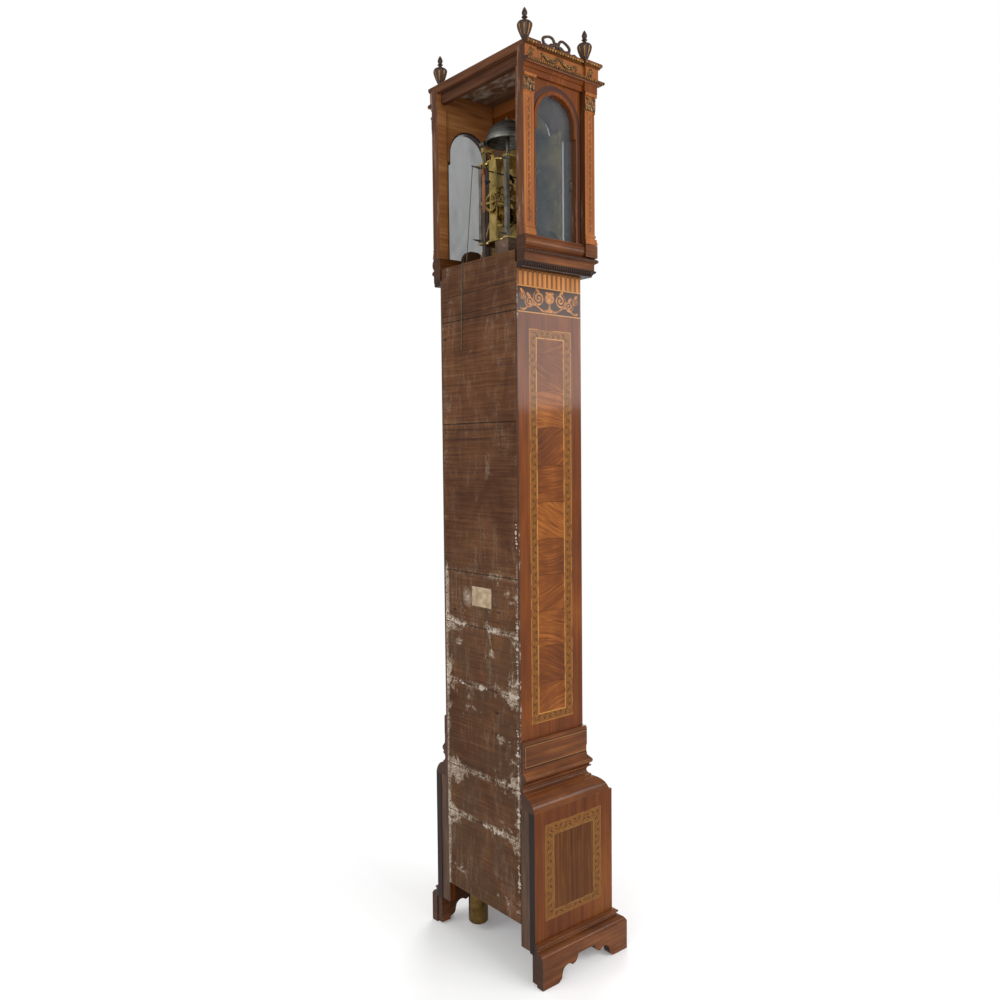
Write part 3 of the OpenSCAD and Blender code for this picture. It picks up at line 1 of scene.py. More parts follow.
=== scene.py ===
"""Longcase clock seen from behind: the finishes and the carved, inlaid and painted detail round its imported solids."""
import json
import math

import bmesh
import bpy
import numpy as np
from mathutils import Matrix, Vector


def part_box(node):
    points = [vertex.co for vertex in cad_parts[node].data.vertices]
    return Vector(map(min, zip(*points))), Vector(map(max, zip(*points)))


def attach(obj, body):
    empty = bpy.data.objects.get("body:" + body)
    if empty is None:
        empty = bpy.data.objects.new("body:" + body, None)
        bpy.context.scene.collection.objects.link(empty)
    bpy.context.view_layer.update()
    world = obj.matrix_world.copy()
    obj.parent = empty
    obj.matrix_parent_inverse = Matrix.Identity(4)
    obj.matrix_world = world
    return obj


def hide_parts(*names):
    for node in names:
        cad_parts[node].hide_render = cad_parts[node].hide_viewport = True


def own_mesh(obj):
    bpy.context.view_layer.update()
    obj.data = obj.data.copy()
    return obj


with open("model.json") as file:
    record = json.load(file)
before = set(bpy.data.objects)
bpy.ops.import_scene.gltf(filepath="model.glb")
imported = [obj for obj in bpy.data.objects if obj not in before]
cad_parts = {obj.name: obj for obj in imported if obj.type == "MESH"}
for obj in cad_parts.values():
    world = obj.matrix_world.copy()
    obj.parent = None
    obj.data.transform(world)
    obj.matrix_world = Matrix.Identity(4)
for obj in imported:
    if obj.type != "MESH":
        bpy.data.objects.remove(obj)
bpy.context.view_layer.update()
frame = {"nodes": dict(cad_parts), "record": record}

# Studio.
# A white floor that fades into a white world, lit by five broad soft lamps.
# The camera stands behind the clock and to the left of it, about chest high.
# Depth counts forward from the rear face of the back boards.
BACK_MM = 153
BACK_Y = BACK_MM / 1000
CAMERA_AT = np.array([-1.84068, 1.61726, 1.33352])
YAW, PITCH, ROLL = (math.radians(a) for a in (-39.836, -2.980, -0.5586))
FOCAL_MM, SENSOR_MM = 32.53, 36.0
UPRIGHT = (0.0, 0.0, 1.0)


def unit(arrows):
    """Arrows of length one: each divided by its own length."""
    return arrows / np.linalg.norm(arrows, axis=-1, keepdims=True)


def camera_axes(yaw, pitch, roll):
    """Forward from yaw and pitch; right is forward x up; then both turned about forward by roll."""
    forward = np.array([math.cos(pitch) * math.cos(yaw), math.cos(pitch) * math.sin(yaw), math.sin(pitch)])
    right = unit(np.cross(forward, UPRIGHT))
    up = np.cross(right, forward)
    return (right * math.cos(roll) + up * math.sin(roll),
            up * math.cos(roll) - right * math.sin(roll), forward)


def stand(made, x_axis, y_axis, z_axis, place):
    """Puts a camera or a lamp at a place, with its own axes along three arrows."""
    bpy.context.collection.objects.link(made)
    made.matrix_world = Matrix([[x_axis[i], y_axis[i], z_axis[i], place[i]] for i in range(3)] + [[0, 0, 0, 1]])


right, up, forward = camera_axes(YAW, PITCH, ROLL)
camera_data = bpy.data.cameras.new("camera")
camera_data.lens = FOCAL_MM
camera_data.sensor_width = SENSOR_MM
camera_data.sensor_fit = "HORIZONTAL"
camera = bpy.data.objects.new("camera", camera_data)
stand(camera, right, up, -forward, CAMERA_AT)
bpy.context.scene.camera = camera
bpy.context.scene.view_settings.view_transform = "Standard"


class Num:
    """A number that a material works out; operators on it add the Math nodes of the sum."""

    def __init__(self, mat, out):
        self.mat, self.out = mat, out

    def __add__(self, b): return self.mat.math("ADD", self, b)
    def __radd__(self, b): return self.mat.math("ADD", b, self)
    def __sub__(self, b): return self.mat.math("SUBTRACT", self, b)
    def __rsub__(self, b): return self.mat.math("SUBTRACT", b, self)
    def __mul__(self, b): return self.mat.math("MULTIPLY", self, b)
    def __rmul__(self, b): return self.mat.math("MULTIPLY", b, self)
    def __truediv__(self, b): return self.mat.math("DIVIDE", self, b)
    def __rtruediv__(self, b): return self.mat.math("DIVIDE", b, self)
    def __pow__(self, b): return self.mat.math("POWER", self, b)
    def __mod__(self, b): return self.mat.math("FLOORED_MODULO", self, b)
    def __lt__(self, b): return self.mat.math("LESS_THAN", self, b)
    def __gt__(self, b): return self.mat.math("GREATER_THAN", self, b)
    def __neg__(self): return self.mat.math("MULTIPLY", self, -1.0)
    def __abs__(self): return self.mat.math("ABSOLUTE", self)
    def sin(self): return self.mat.math("SINE", self)
    def cos(self): return self.mat.math("COSINE", self)
    def floor(self): return self.mat.math("FLOOR", self)
    def min(self, b): return self.mat.math("MINIMUM", self, b)
    def max(self, b): return self.mat.math("MAXIMUM", self, b)
    def clamp(self): return self.max(0.0).min(1.0)


class Finish:
    """A node material under construction: position, noise, mixes and the surface shader."""

    def __init__(self, name):
        self.material = bpy.data.materials.new(name)
        self.material.use_nodes = True
        self.tree = self.material.node_tree
        self.tree.nodes.clear()
        self.surface = self.node("ShaderNodeBsdfPrincipled")
        output = self.node("ShaderNodeOutputMaterial")
        self.tree.links.new(self.surface.outputs[0], output.inputs[0])
        self.place = self.node("ShaderNodeTexCoord").outputs["Object"]
        split = self.node("ShaderNodeSeparateXYZ", {}, {0: self.place})
        self.x, self.y, self.z = (Num(self, split.outputs[i]) for i in range(3))
        self.depth = BACK_Y - self.y

    def plug(self, socket, value):
        if isinstance(value, Num):
            value = value.out
        if isinstance(value, bpy.types.NodeSocket):
            self.tree.links.new(value, socket)
        elif isinstance(value, tuple) and socket.type == "RGBA" and len(value) == 3:
            socket.default_value = (*value, 1.0)
        else:
            socket.default_value = value

    def node(self, kind, settings=None, values=None):
        """Adds a node: first its settings, then the values or links of its sockets."""
        made = self.tree.nodes.new(kind)
        for key, value in (settings or {}).items():
            if key == "stops":
                ramp = made.color_ramp
                while len(ramp.elements) < len(value):
                    ramp.elements.new(0.5)
                for element, (place, colour) in zip(ramp.elements, value):
                    element.position = place
                    element.color = (*colour, 1.0)
            else:
                setattr(made, key, value)
        for key, value in (values or {}).items():
            self.plug(made.inputs[key], value)
        return made

    def math(self, operation, *terms):
        made = self.node("ShaderNodeMath", {"operation": operation}, dict(enumerate(terms)))
        return Num(self, made.outputs[0])

    def vector(self, x, y, z):
        return self.node("ShaderNodeCombineXYZ", {}, {0: x, 1: y, 2: z}).outputs[0]

    def noise(self, place, scale, detail=3.0, rough=0.55, warp=0.0):
        """Fractal noise, 0 to 1."""
        made = self.node("ShaderNodeTexNoise", {}, {
            "Vector": place, "Scale": scale, "Detail": detail, "Roughness": rough, "Distortion": warp})
        return Num(self, made.outputs["Fac"])

    def grain(self, x, y, z, detail=3.0, rough=0.55, warp=0.0):
        """Fractal noise on coordinates of its own, so that it can be drawn out along one of them."""
        return self.noise(self.vector(x, y, z), 1.0, detail, rough, warp)

    def cells(self, place, scale):
        """Distance to the nearest of scattered points."""
        made = self.node("ShaderNodeTexVoronoi", {}, {"Vector": place, "Scale": scale})
        return Num(self, made.outputs["Distance"])

    def ramp(self, number, *stops):
        return self.node("ShaderNodeValToRGB", {"stops": stops}, {0: number}).outputs[0]

    def mix(self, share, low, high, way="MIX"):
        """Colour low where share is 0, high where it is 1."""
        made = self.node("ShaderNodeMix", {"data_type": "RGBA", "blend_type": way}, {0: share, 6: low, 7: high})
        return made.outputs[2]

    def shade(self, colour, by):
        """Darkens or lightens a colour by a number round 1."""
        grey = self.node("ShaderNodeCombineColor", {}, {0: by, 1: by, 2: by}).outputs[0]
        return self.mix(1.0, colour, grey, "MULTIPLY")

    def bump(self, height, metres, strength=1.0):
        made = self.node("ShaderNodeBump", {}, {"Strength": strength, "Distance": metres, "Height": height})
        self.plug(self.surface.inputs["Normal"], made.outputs[0])

    def step(self, number, edge, soft):
        """0 below edge, 1 above it, with a soft border."""
        return ((number - edge) / soft + 0.5).clamp()

    def below(self, number, edge, soft):
        """1 below edge, 0 above it."""
        return 1.0 - self.step(number, edge, soft)

    def line(self, number, half, soft):
        """1 where a number lies within half of nought."""
        return self.below(abs(number), half, soft)

    def band(self, number, low, high, soft):
        """1 between low and high."""
        return self.step(number, low, soft) * self.below(number, high, soft)

    def finish(self, colour, rough=0.5, metal=0.0, coat=0.0, coat_rough=0.15, gleam=0.5):
        for key, value in (("Base Color", colour), ("Roughness", rough), ("Metallic", metal), ("Coat Weight", coat),
                           ("Coat Roughness", coat_rough), ("Specular IOR Level", gleam)):
            self.plug(self.surface.inputs[key], value)
        return self.material


def dress(material, *nodes):
    """Gives a material to the whole of each named solid."""
    for name in nodes:
        mesh = frame["nodes"][name].data
        mesh.materials.clear()
        mesh.materials.append(material)


NEAR_REACH, NEAR_FADE, NEAR_GLOW = 0.95, 1.1, 0.16
FLOOR_HALF, FLOOR_DROP = 9, 0.001
SKY_LIGHT, SKY_SEEN = 0.55, 1.0


def paper_material():
    """White paper that takes the clock's shadow near it, and glows as white as the world further out."""
    m = Finish("studio_paper")
    seen = m.node("ShaderNodeLightPath").outputs
    sees = Num(m, seen["Is Camera Ray"]).max(Num(m, seen["Is Glossy Ray"])).max(Num(m, seen["Is Transmission Ray"]))
    far = m.step((m.x * m.x + m.y * m.y) ** 0.5, NEAR_REACH, NEAR_FADE) * sees
    glow = far + sees * (1.0 - far) * NEAR_GLOW
    m.surface.inputs["Emission Strength"].default_value = 1.0
    m.plug(m.surface.inputs["Emission Color"], m.shade((1.0, 1.0, 1.0), glow))
    return m.finish(m.mix(far, (0.86, 0.86, 0.86), (0.0, 0.0, 0.0)), 0.9, gleam=0.0)


floor_mesh = bpy.data.meshes.new("floor")
corners = [(x * FLOOR_HALF, y * FLOOR_HALF, -FLOOR_DROP) for x, y in ((-1, -1), (1, -1), (1, 1), (-1, 1))]
floor_mesh.from_pydata(corners, [], [(0, 1, 2, 3)])
floor = bpy.data.objects.new("floor", floor_mesh)
bpy.context.collection.objects.link(floor)
floor_mesh.materials.append(paper_material())

world = bpy.data.worlds.new("studio")
bpy.context.scene.world = world
world.use_nodes = True


class Sky(Finish):
    """The same tools on the nodes of the world."""

    def __init__(self, tree):
        self.tree = tree


sky = Sky(world.node_tree)
seen = sky.node("ShaderNodeLightPath").outputs
direct = Num(sky, seen["Is Camera Ray"]).max(Num(sky, seen["Is Transmission Ray"]))
background = world.node_tree.nodes["Background"]
sky.plug(background.inputs["Color"], (1.0, 1.0, 1.0))
sky.plug(background.inputs["Strength"], direct * (SKY_SEEN - SKY_LIGHT) + SKY_LIGHT)


def lamp(name, place, target, size, watts):
    """A broad lamp that looks at a target, itself hidden from the camera and from glass."""
    data = bpy.data.lights.new(name, "AREA")
    data.energy, data.size = watts, size
    made = bpy.data.objects.new(name, data)
    back = unit(np.array(place) - np.array(target))
    side = unit(np.cross(UPRIGHT, back))
    stand(made, side, np.cross(back, side), back, place)
    made.visible_camera = made.visible_transmission = False


lamp("window_left", (-3.2, -0.6, 2.6), (0, 0, 1.2), 2.2, 70)
lamp("window_back", (0.8, 3.4, 2.4), (0, 0, 1.2), 2.4, 48)
lamp("window_shoulder", (-2.2, 3.6, 2.0), (0, 0, 1.6), 1.6, 32)
lamp("window_front", (2.6, -3.2, 2.8), (0, 0, 1.2), 2.4, 90)
lamp("window_gloss", (-3.2, -2.75, 2.05), (-0.16, 0.05, 1.45), 0.8, 22)

# Cord.
# A thin grey cord of three laid strands. It starts at the movement's upper spur, comes over the top board and
# hangs down the outside of the back, where its end is bare. Its places are x, depth and height in millimetres.
CORD_D, CORD_TWIST = 0.0024, 60.0
CORD_ROUTE = [(52, 31, 2081), (52, 31, 2076), (52.5, 28, 2040), (54, 22, 1960), (56, 17, 1890), (57, 14, 1850),
              (57.5, 12, 1836), (58, 9, 1831.8), (58, 5, 1831.3), (58, 1, 1831.2), (58, -1, 1829.8),
              (58, -1.6, 1826), (58.5, -1.6, 1800), (60, -1.6, 1750), (62, -1.6, 1690), (64, -1.6, 1640),
              (65, -1.6, 1606)]


def surface(grid, wrap=True):
    """Points and four-cornered faces of a grid of places; wrap joins its last column to its first."""
    rows, cols = grid.shape[:2]
    i, k = np.meshgrid(np.arange(rows - 1), np.arange(cols if wrap else cols - 1), indexing="ij")
    j = (k + 1) % cols
    quads = np.stack([i * cols + k, i * cols + j, (i + 1) * cols + j, (i + 1) * cols + k], -1)
    return grid.reshape(-1, 3), quads.reshape(-1, 4)


def strip(path, across, wide, thick, sides=8, twist=0.0):
    """An oval carried along a path, half of wide to each side along across and half of thick square to it.
    With a twist, in turns per unit of length, its edge waves as three laid strands do. Each end closes to a point."""
    path = np.asarray(path, float)
    along = unit(np.gradient(path, axis=0))
    across = np.broadcast_to(np.asarray(across, float), path.shape)
    across = unit(across - along * (across * along).sum(1, keepdims=True))
    out = np.cross(along, across)
    run = np.concatenate([[0.0], np.cumsum(np.linalg.norm(np.diff(path, axis=0), axis=1))])
    turn = np.linspace(0, 2 * np.pi, sides, endpoint=False)[None, :]
    lay = 1.0 - 0.14 * (1 + np.cos(3 * turn + 2 * np.pi * twist * run[:, None])) * bool(twist)
    half_wide, half_thick = (np.broadcast_to(v, len(path))[:, None] / 2 for v in (wide, thick))
    rings = (path[:, None] + (np.cos(turn) * half_wide * lay)[..., None] * across[:, None]
             + (np.sin(turn) * half_thick * lay)[..., None] * out[:, None])
    ends = (np.repeat(path[k:k + 1, None], sides, 1) for k in (0, len(path) - 1))
    return surface(np.concatenate([next(ends), rings, next(ends)]))


MERGE = 1e-6


def piece(name, shape, material, body, smooth=True, tint=None):
    """Makes one mesh object in the clock's own frame, with meeting corners merged, and fixes it to a body."""
    points, quads = shape
    mesh = bpy.data.meshes.new(name)
    mesh.from_pydata(points.tolist(), [], quads.tolist())
    if tint is not None:
        shares = mesh.attributes.new("tint", "FLOAT", "POINT").data
        shares.foreach_set("value", np.asarray(tint, np.float32))
    work = bmesh.new()
    work.from_mesh(mesh)
    bmesh.ops.remove_doubles(work, verts=work.verts, dist=MERGE)
    work.to_mesh(mesh)
    work.free()
    mesh.polygons.foreach_set("use_smooth", np.full(len(mesh.polygons), smooth))
    mesh.materials.append(material)
    made = bpy.data.objects.new(name, mesh)
    bpy.context.collection.objects.link(made)
    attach(made, body)
    return made


def in_metres(shape):
    """A shape given in millimetres, in metres."""
    return shape[0] / 1000, shape[1]


def smooth_path(points, per_span):
    """Catmull-Rom curve through the points, per_span steps in each span."""
    p = np.asarray(points, float)
    p = np.vstack([2 * p[0] - p[1], p, 2 * p[-1] - p[-2]])
    t = np.linspace(0, 1, per_span, endpoint=False)[None, :, None]
    a, b, c, d = (p[k:len(p) - 3 + k][:, None] for k in range(4))
    curve = 0.5 * (2 * b + (c - a) * t + (2 * a - 5 * b + 4 * c - d) * t ** 2 + (3 * b - a - 3 * c + d) * t ** 3)
    return np.vstack([curve.reshape(-1, p.shape[1]), p[-2]])


def cord_material():
    """Grey hemp, fuzzy with fine fibres."""
    m = Finish("greyed_cord")
    fuzz = m.noise(m.place, 900.0, 2.0)
    m.bump(fuzz, 0.0004, 0.6)
    return m.finish(m.ramp(fuzz, (0.3, (0.045, 0.045, 0.030)), (0.7, (0.14, 0.135, 0.095))), 0.9)


cord_points = np.array([(x, BACK_MM - depth, z) for x, depth, z in CORD_ROUTE]) / 1000
cord_path = smooth_path(cord_points, 24)
cord = piece("repeat_cord_strands", strip(cord_path, (1, 0, 0), CORD_D, CORD_D, 12, CORD_TWIST), cord_material(),
             "case")
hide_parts("repeat_cord")

# Back boards.
# Eight thin softwood boards across the back, stained dark, unplaned, scratched, split and dusty. Plaster from
# the wall behind sticks to the lower ones, along their joints and both edges.
BOARD_SEAMS = (0.3504, 0.4800, 0.7180, 0.8754, 1.0176, 1.4118, 1.6842)
BOARD_STAIN = ((0.30, (0.032, 0.012, 0.005)), (0.46, (0.080, 0.030, 0.012)),
               (0.60, (0.130, 0.054, 0.022)), (0.80, (0.21, 0.096, 0.042)))
# Each split: its height, how it leans along x, and how far it wanders.
SPLITS = ((1.372, 0.02, 0.010), (1.395, -0.01, 0.006), (1.752, 0.03, 0.012), (1.700, 0.0, 0.006))
SCUFF_X, SCUFF_Z = 0.052, 0.950


def board_material():
    """Stained wood in a tone of its own for each board, and on it the dust, plaster, scratches, knots and splits;
    near is the distance to the nearest seam, low is 1 on the lower boards, and pale is all that covers the stain."""
    m = Finish("rough_back_board")
    streak = m.grain(m.x * 7.0, m.y * 30.0, m.z * 210.0, 5.0, 0.66, 0.3)
    cloud = m.grain(m.x * 9.0, m.y * 9.0, m.z * 5.0, 4.0, 0.6, 0.6)
    fine = m.grain(m.x * 60.0, m.y * 200.0, m.z * 900.0, 4.0, 0.65)
    board = sum(m.step(m.z, seam, 0.0004) for seam in BOARD_SEAMS)
    tone = (board * 2.399).sin() * 0.10
    wood = m.shade(m.ramp(streak * 0.55 + cloud * 0.45, *BOARD_STAIN), 0.70 + fine * 0.50 + tone)
    near = abs(m.z - BOARD_SEAMS[0])
    for seam in BOARD_SEAMS[1:]:
        near = near.min(abs(m.z - seam))
    low = m.below(m.z, 1.02, 0.14)
    edge = m.step(abs(m.x + 0.001), 0.128, 0.05)
    patch = m.noise(m.place, 14.0, 8.0, 0.68, 0.4)
    nook = m.below(near, 0.030, 0.05) * m.step(abs(m.x), 0.060, 0.10)
    dust = m.step(patch + low * 0.02 + edge * 0.06 + nook * low * 0.13, 0.66, 0.06) * (0.2 + low * 0.6)
    crumbs = m.noise(m.place, 120.0, 5.0, 0.7)
    drift = m.step(m.grain(m.x * 9.0, 0.2, m.z * 6.0, 3.0), 0.47, 0.14)
    seam = m.below(near, 0.007, 0.009) * m.step(crumbs + low * 0.08, 0.54, 0.1) * (0.10 + low * 0.8) * drift
    blot = m.grain(m.x * 20.0, 0.7, m.z * 9.0, 6.0, 0.7, 0.5)
    rim = m.step(abs(m.x + 0.006) + blot * 0.030, 0.1620, 0.008)
    rim = rim * m.step(crumbs * 0.5 + blot * 0.4 + low * 0.18, 0.56, 0.10)
    scrape = m.grain(m.x * 70.0, 0.4, m.z * 12.0 + m.x * 6.0, 6.0, 0.74, 0.6)
    scraped = m.step(scrape, 0.56, 0.12) * m.step(cloud, 0.47, 0.10) * 0.14
    scratch = m.grain(m.x * 3.0 + m.z * 1.6, m.y, m.z * 45.0 - m.x * 60.0, 6.0, 0.75)
    scratch = m.step(scratch, 0.70, 0.03) * m.step(cloud, 0.45, 0.2) * 0.5
    pale = (dust + seam + scratch + rim * 0.7 + scraped).clamp()
    gritty = m.noise(m.place, 260.0, 3.0, 0.7)
    pale = pale * (0.30 + m.step(gritty * 0.5 + crumbs * 0.5, 0.47, 0.10) * 0.70)
    off_x, off_z = m.x - SCUFF_X, m.z - SCUFF_Z
    scuff = m.below((off_x * off_x + off_z * off_z * 0.6) ** 0.5 + (blot - 0.5) * 0.05, 0.016, 0.016) * crumbs
    pale = pale.max(scuff * 1.3).clamp()
    dark = m.below(near + (crumbs - 0.5) * 0.002, 0.0014, 0.0014)
    for z, lean, wander in SPLITS:
        off = m.z + m.x * lean + (m.grain(m.x * 9.0, z, 0.1, 4.0) - 0.5) * wander - z
        dark = dark.max(m.line(off, 0.0014, 0.0016) * m.step(blot + drift * 0.3, 0.50, 0.1) * 0.8)
    knot = m.step(m.cells(m.vector(m.x, 0.0, m.z * 2.2), 8.0), 0.055, 0.03)
    wood = m.mix(dark * 0.85, m.mix(1.0 - knot, wood, (0.022, 0.009, 0.005)), (0.012, 0.006, 0.004))
    lime = m.mix(m.step(gritty + blot * 0.5, 0.76, 0.2), (0.21, 0.145, 0.095), (0.52, 0.44, 0.35))
    damp = m.step(m.grain(m.x * 7.0, 0.9, m.z * 4.0, 5.0, 0.65, 0.8), 0.50, 0.14) * low
    wood = m.mix(damp * 0.55, wood, m.shade((0.060, 0.033, 0.016), 0.5 + fine))
    colour = m.mix(pale * (1.0 - dark * 0.6), wood, lime)
    m.bump(fine * 0.5 + streak * 0.6 + pale * 0.5, 0.0012, 0.7)
    return m.finish(colour, 0.78 + pale * 0.15, gleam=0.15)


dress(board_material(), "back_boards")

# Rough wall plaster that sticks to the lower boards' joints and edges, the clout nails that hold the boards,
# and a blank paper label pasted on the fourth board.
BOARDS_LOW, BOARDS_HIGH, BOARD_HALF = 138, 1830, 151
BOARD_JOINTS = [349.5, 479.8, 718.4, 875.7, 1017.8, 1412.1, 1684.5]
NAIL_IN, NAIL_X = 22, 143
PROUD = 0.1
LABEL = (-47, 34, 931, 983)
chance = np.random.default_rng(7)


def points_at(a, b, c):
    """Places from three sets of numbers; a single number serves for all the places."""
    return np.stack(np.broadcast_arrays(a, b, c), -1)


def lump(rows=4, sides=6):
    """A small ball: rows of latitude by sides of longitude."""
    lift = np.linspace(-np.pi / 2, np.pi / 2, rows + 1)[:, None]
    turn = np.linspace(0, 2 * np.pi, sides, endpoint=False)[None, :]
    return surface(points_at(np.cos(lift) * np.cos(turn), np.cos(lift) * np.sin(turn), np.sin(lift)))


def repeat(shape, places, sizes=1.0):
    """Copies of one shape, each enlarged by its own sizes and moved to its own place."""
    points, quads = shape
    places = np.asarray(places, float)
    sizes = np.broadcast_to(np.asarray(sizes, float), places.shape)
    moved = points[None] * sizes[:, None] + places[:, None]
    steps = np.arange(len(places))[:, None, None] * len(points)
    return moved.reshape(-1, 3), (quads[None] + steps).reshape(-1, 4)


def join(*shapes):
    """Several shapes as one."""
    starts = np.cumsum([0] + [len(points) for points, _ in shapes[:-1]])
    return (np.vstack([points for points, _ in shapes]),
            np.vstack([quads + start for (_, quads), start in zip(shapes, starts)]))


def crumb_places(count, wild):
    """Crumbs lie in drifts along the lower joints and both edges of the back; each strays from its own drift."""
    drifts, edge_drifts = 9, 16
    joint = chance.choice(BOARD_JOINTS[:4], drifts)
    drift_x = chance.uniform(-BOARD_HALF + 12, BOARD_HALF - 12, drifts)
    pick = chance.integers(0, drifts, count)
    x = np.clip(drift_x[pick] + chance.normal(0, 11, count), -BOARD_HALF + 3, BOARD_HALF - 3)
    on_joint = points_at(x, BACK_MM + PROUD, joint[pick] + chance.normal(0, wild, count))
    drift_z = chance.triangular(150, 300, 1300, edge_drifts)
    near_side = np.where(chance.uniform(size=edge_drifts) < 0.75, -1, 1)
    pick = chance.integers(0, edge_drifts, count)
    edge = near_side[pick] * (BOARD_HALF - 2 - abs(chance.normal(0, wild, count)))
    on_edge = points_at(edge, BACK_MM + PROUD, drift_z[pick] + chance.normal(0, 22, count))
    return np.vstack([on_joint, on_edge])


def plaster_material():
    """Lime and sand, gritty and stained brown."""
    m = Finish("wall_plaster")
    grain = m.noise(m.place, 420.0, 4.0, 0.7)
    m.bump(grain, 0.0005, 0.7)
    return m.finish(m.ramp(grain, (0.3, (0.26, 0.19, 0.14)), (0.7, (0.62, 0.55, 0.47))), 0.95, gleam=0.1)


crumbs = crumb_places(260, 2.4)
crumb_sizes = chance.gamma(2.0, 0.75, (len(crumbs), 1)) * chance.uniform(0.5, 1.5, (len(crumbs), 3)) * [1.3, 0.3, 0.9]
piece("wall_plaster_crumbs", in_metres(repeat(lump(), crumbs, crumb_sizes)), plaster_material(), "case")

nail_rows = [z + NAIL_IN for z in [BOARDS_LOW] + BOARD_JOINTS] + [z - NAIL_IN for z in BOARD_JOINTS + [BOARDS_HIGH]]
nail_places = [(x, BACK_MM + PROUD, z) for z in nail_rows for x in (-NAIL_X, NAIL_X)]
rust = Finish("rusted_nail")
rust_patch = rust.noise(rust.place, 300.0, 3.0)
rust.finish(rust.ramp(rust_patch, (0.3, (0.02, 0.012, 0.008)), (0.7, (0.10, 0.05, 0.025))), 0.7, 0.6)
piece("clout_nails", in_metres(repeat(lump(4, 8), nail_places, (2.6, 0.7, 2.6))), rust.material, "case")


def label_sheet(x0, x1, z0, z1):
    """A pasted sheet: a grid that lifts a little off the board at its lower corner and along two creases."""
    u, v = np.meshgrid(np.linspace(0, 1, 25), np.linspace(0, 1, 17))
    lift = 0.25 + 1.2 * np.clip(u + (1 - v) - 1.55, 0, 1) ** 2 * 4 + 0.12 * np.sin(9 * u + 2 * v) ** 8
    ragged = 0.5 * np.sin(37 * u + 5) * (v == 0) + 0.5 * np.sin(29 * v) * (u == 1)
    return surface(points_at(x1 + (x0 - x1) * u, BACK_MM + lift, z0 + (z1 - z0) * v + ragged), False)


def label_material():
    """Old paper, browned in soft stains."""
    m = Finish("foxed_paper")
    stain = m.noise(m.place, 45.0, 5.0, 0.65)
    colour = m.ramp(stain, (0.32, (0.24, 0.16, 0.095)), (0.55, (0.42, 0.32, 0.21)), (0.75, (0.52, 0.43, 0.31)))
    return m.finish(colour, 0.9, gleam=0.1)


label = piece("paper_label", in_metres(label_sheet(*LABEL)), label_material(), "case")
backing = label.modifiers.new("thickness", "SOLIDIFY")
backing.thickness = 0.0003
backing.offset = -1.0

# Veneered case.
# Oak faced with glossy mahogany and walnut. The sides and the door carry short leaves of veneer laid one over the
# next, in a running border of flowers between two light strings; an inlaid frieze and flutes stand above.


def flower_band(m, s, t, pitch, half):
    """A running stem that waves once per pitch, with two leaves and a five-petalled flower to each wave.
    s runs along the band and t across it, from -half to half. Gives the share of leaf, then of flower."""
    turn = s * (2 * math.pi / pitch)
    wave = turn.sin() * (half * 0.42)
    line = m.line(t - wave, half * 0.09, half * 0.08)
    leaf = line
    for shift, side in ((0.25, -1.0), (0.75, 1.0)):
        u = ((s / pitch - shift + 0.5) % 1.0 - 0.5) * pitch
        for lean, far in ((0.55, 0.13), (-0.55, -0.13)):
            a = u - far * pitch
            b = t - side * half * 0.35
            along = a * math.cos(lean * side) + b * math.sin(lean * side)
            cross = b * math.cos(lean * side) - a * math.sin(lean * side)
            q = (along / (half * 0.55)) ** 2.0 + (cross / (half * 0.22)) ** 2.0
            leaf = leaf.max(m.below(q, 0.9, 0.5))
    flower = line * 0.0
    for shift in (0.0, 0.5):
        u = ((s / pitch - shift + 0.5) % 1.0 - 0.5) * pitch
        far = (u * u + t * t) ** 0.5
        petal = (0.72 + (m.math("ARCTAN2", t, u) * 5.0).cos() * 0.28) * (half * 0.52)
        flower = flower.max(m.below(far / petal, 0.9, 0.3) * m.step(far, half * 0.12, half * 0.06))
    return leaf, flower


def frame_distance(a, b, box):
    """How far inside a rectangle a place is; less than nothing outside it."""
    a0, a1, b0, b1 = box
    return (a - a0).min(a1 - a).min((b - b0).min(b1 - b))


def stacked(m, a, b, warm, tall):
    """Short leaves of veneer laid one over the next: each has its own curved cross ripple and its own tone."""
    bend = m.grain(a * 6.0, 0.4, b * 3.0, 2.0, 0.5) - 0.5
    bowed = b + a * a * 1.5 + bend * 0.02
    leaf = (bowed / tall).floor()
    lean = (leaf * 1.7).sin() * 0.5
    across = (b + a * lean + bend * 0.05) * 210.0
    ripple = m.grain(a * 11.0 + leaf * 5.3, leaf * 3.7, across, 5.0, 0.70, 0.5)
    long = m.grain(a * 12.0, leaf * 1.9, b * 5.0, 3.0, 0.5)
    tone = ripple * 0.62 + long * 0.38 + (leaf * 2.2).sin() * 0.05
    seam = m.line((bowed / tall) % 1.0 - 0.5, 0.488, 0.012)
    return m.shade(m.ramp(tone, *zip((0.30, 0.50, 0.70), warm)), 0.62 + seam * 0.38), tone


def figured(m, a, b, warm, slices):
    """Figured veneer: slices that lean towards each other, crossed by soft waves of light and dark."""
    where = (a / slices).floor()
    mirror = abs((a / slices) % 2.0 - 1.0) * slices
    sweep = b + mirror * 2.6
    rib = m.grain(mirror * 26.0, where * 3.1, sweep * 4.0, 4.0, 0.62, 0.6)
    curl = m.grain(mirror * 110.0, where * 1.7, b * 5.0, 3.0, 0.6)
    tone = rib * 0.5 + curl * 0.5
    return m.ramp(tone, *zip((0.28, 0.48, 0.70), warm)), tone


def veneer(m, a, b, warm):
    """Plain veneer with its grain along b."""
    grain = m.grain(a * 120.0, a * 3.0, b * 4.0, 5.0, 0.62)
    cloud = m.grain(a * 8.0, 0.3, b * 3.0, 3.0, 0.55, 0.5)
    return m.ramp(grain * 0.5 + cloud * 0.5, *zip((0.30, 0.50, 0.72), warm)), grain


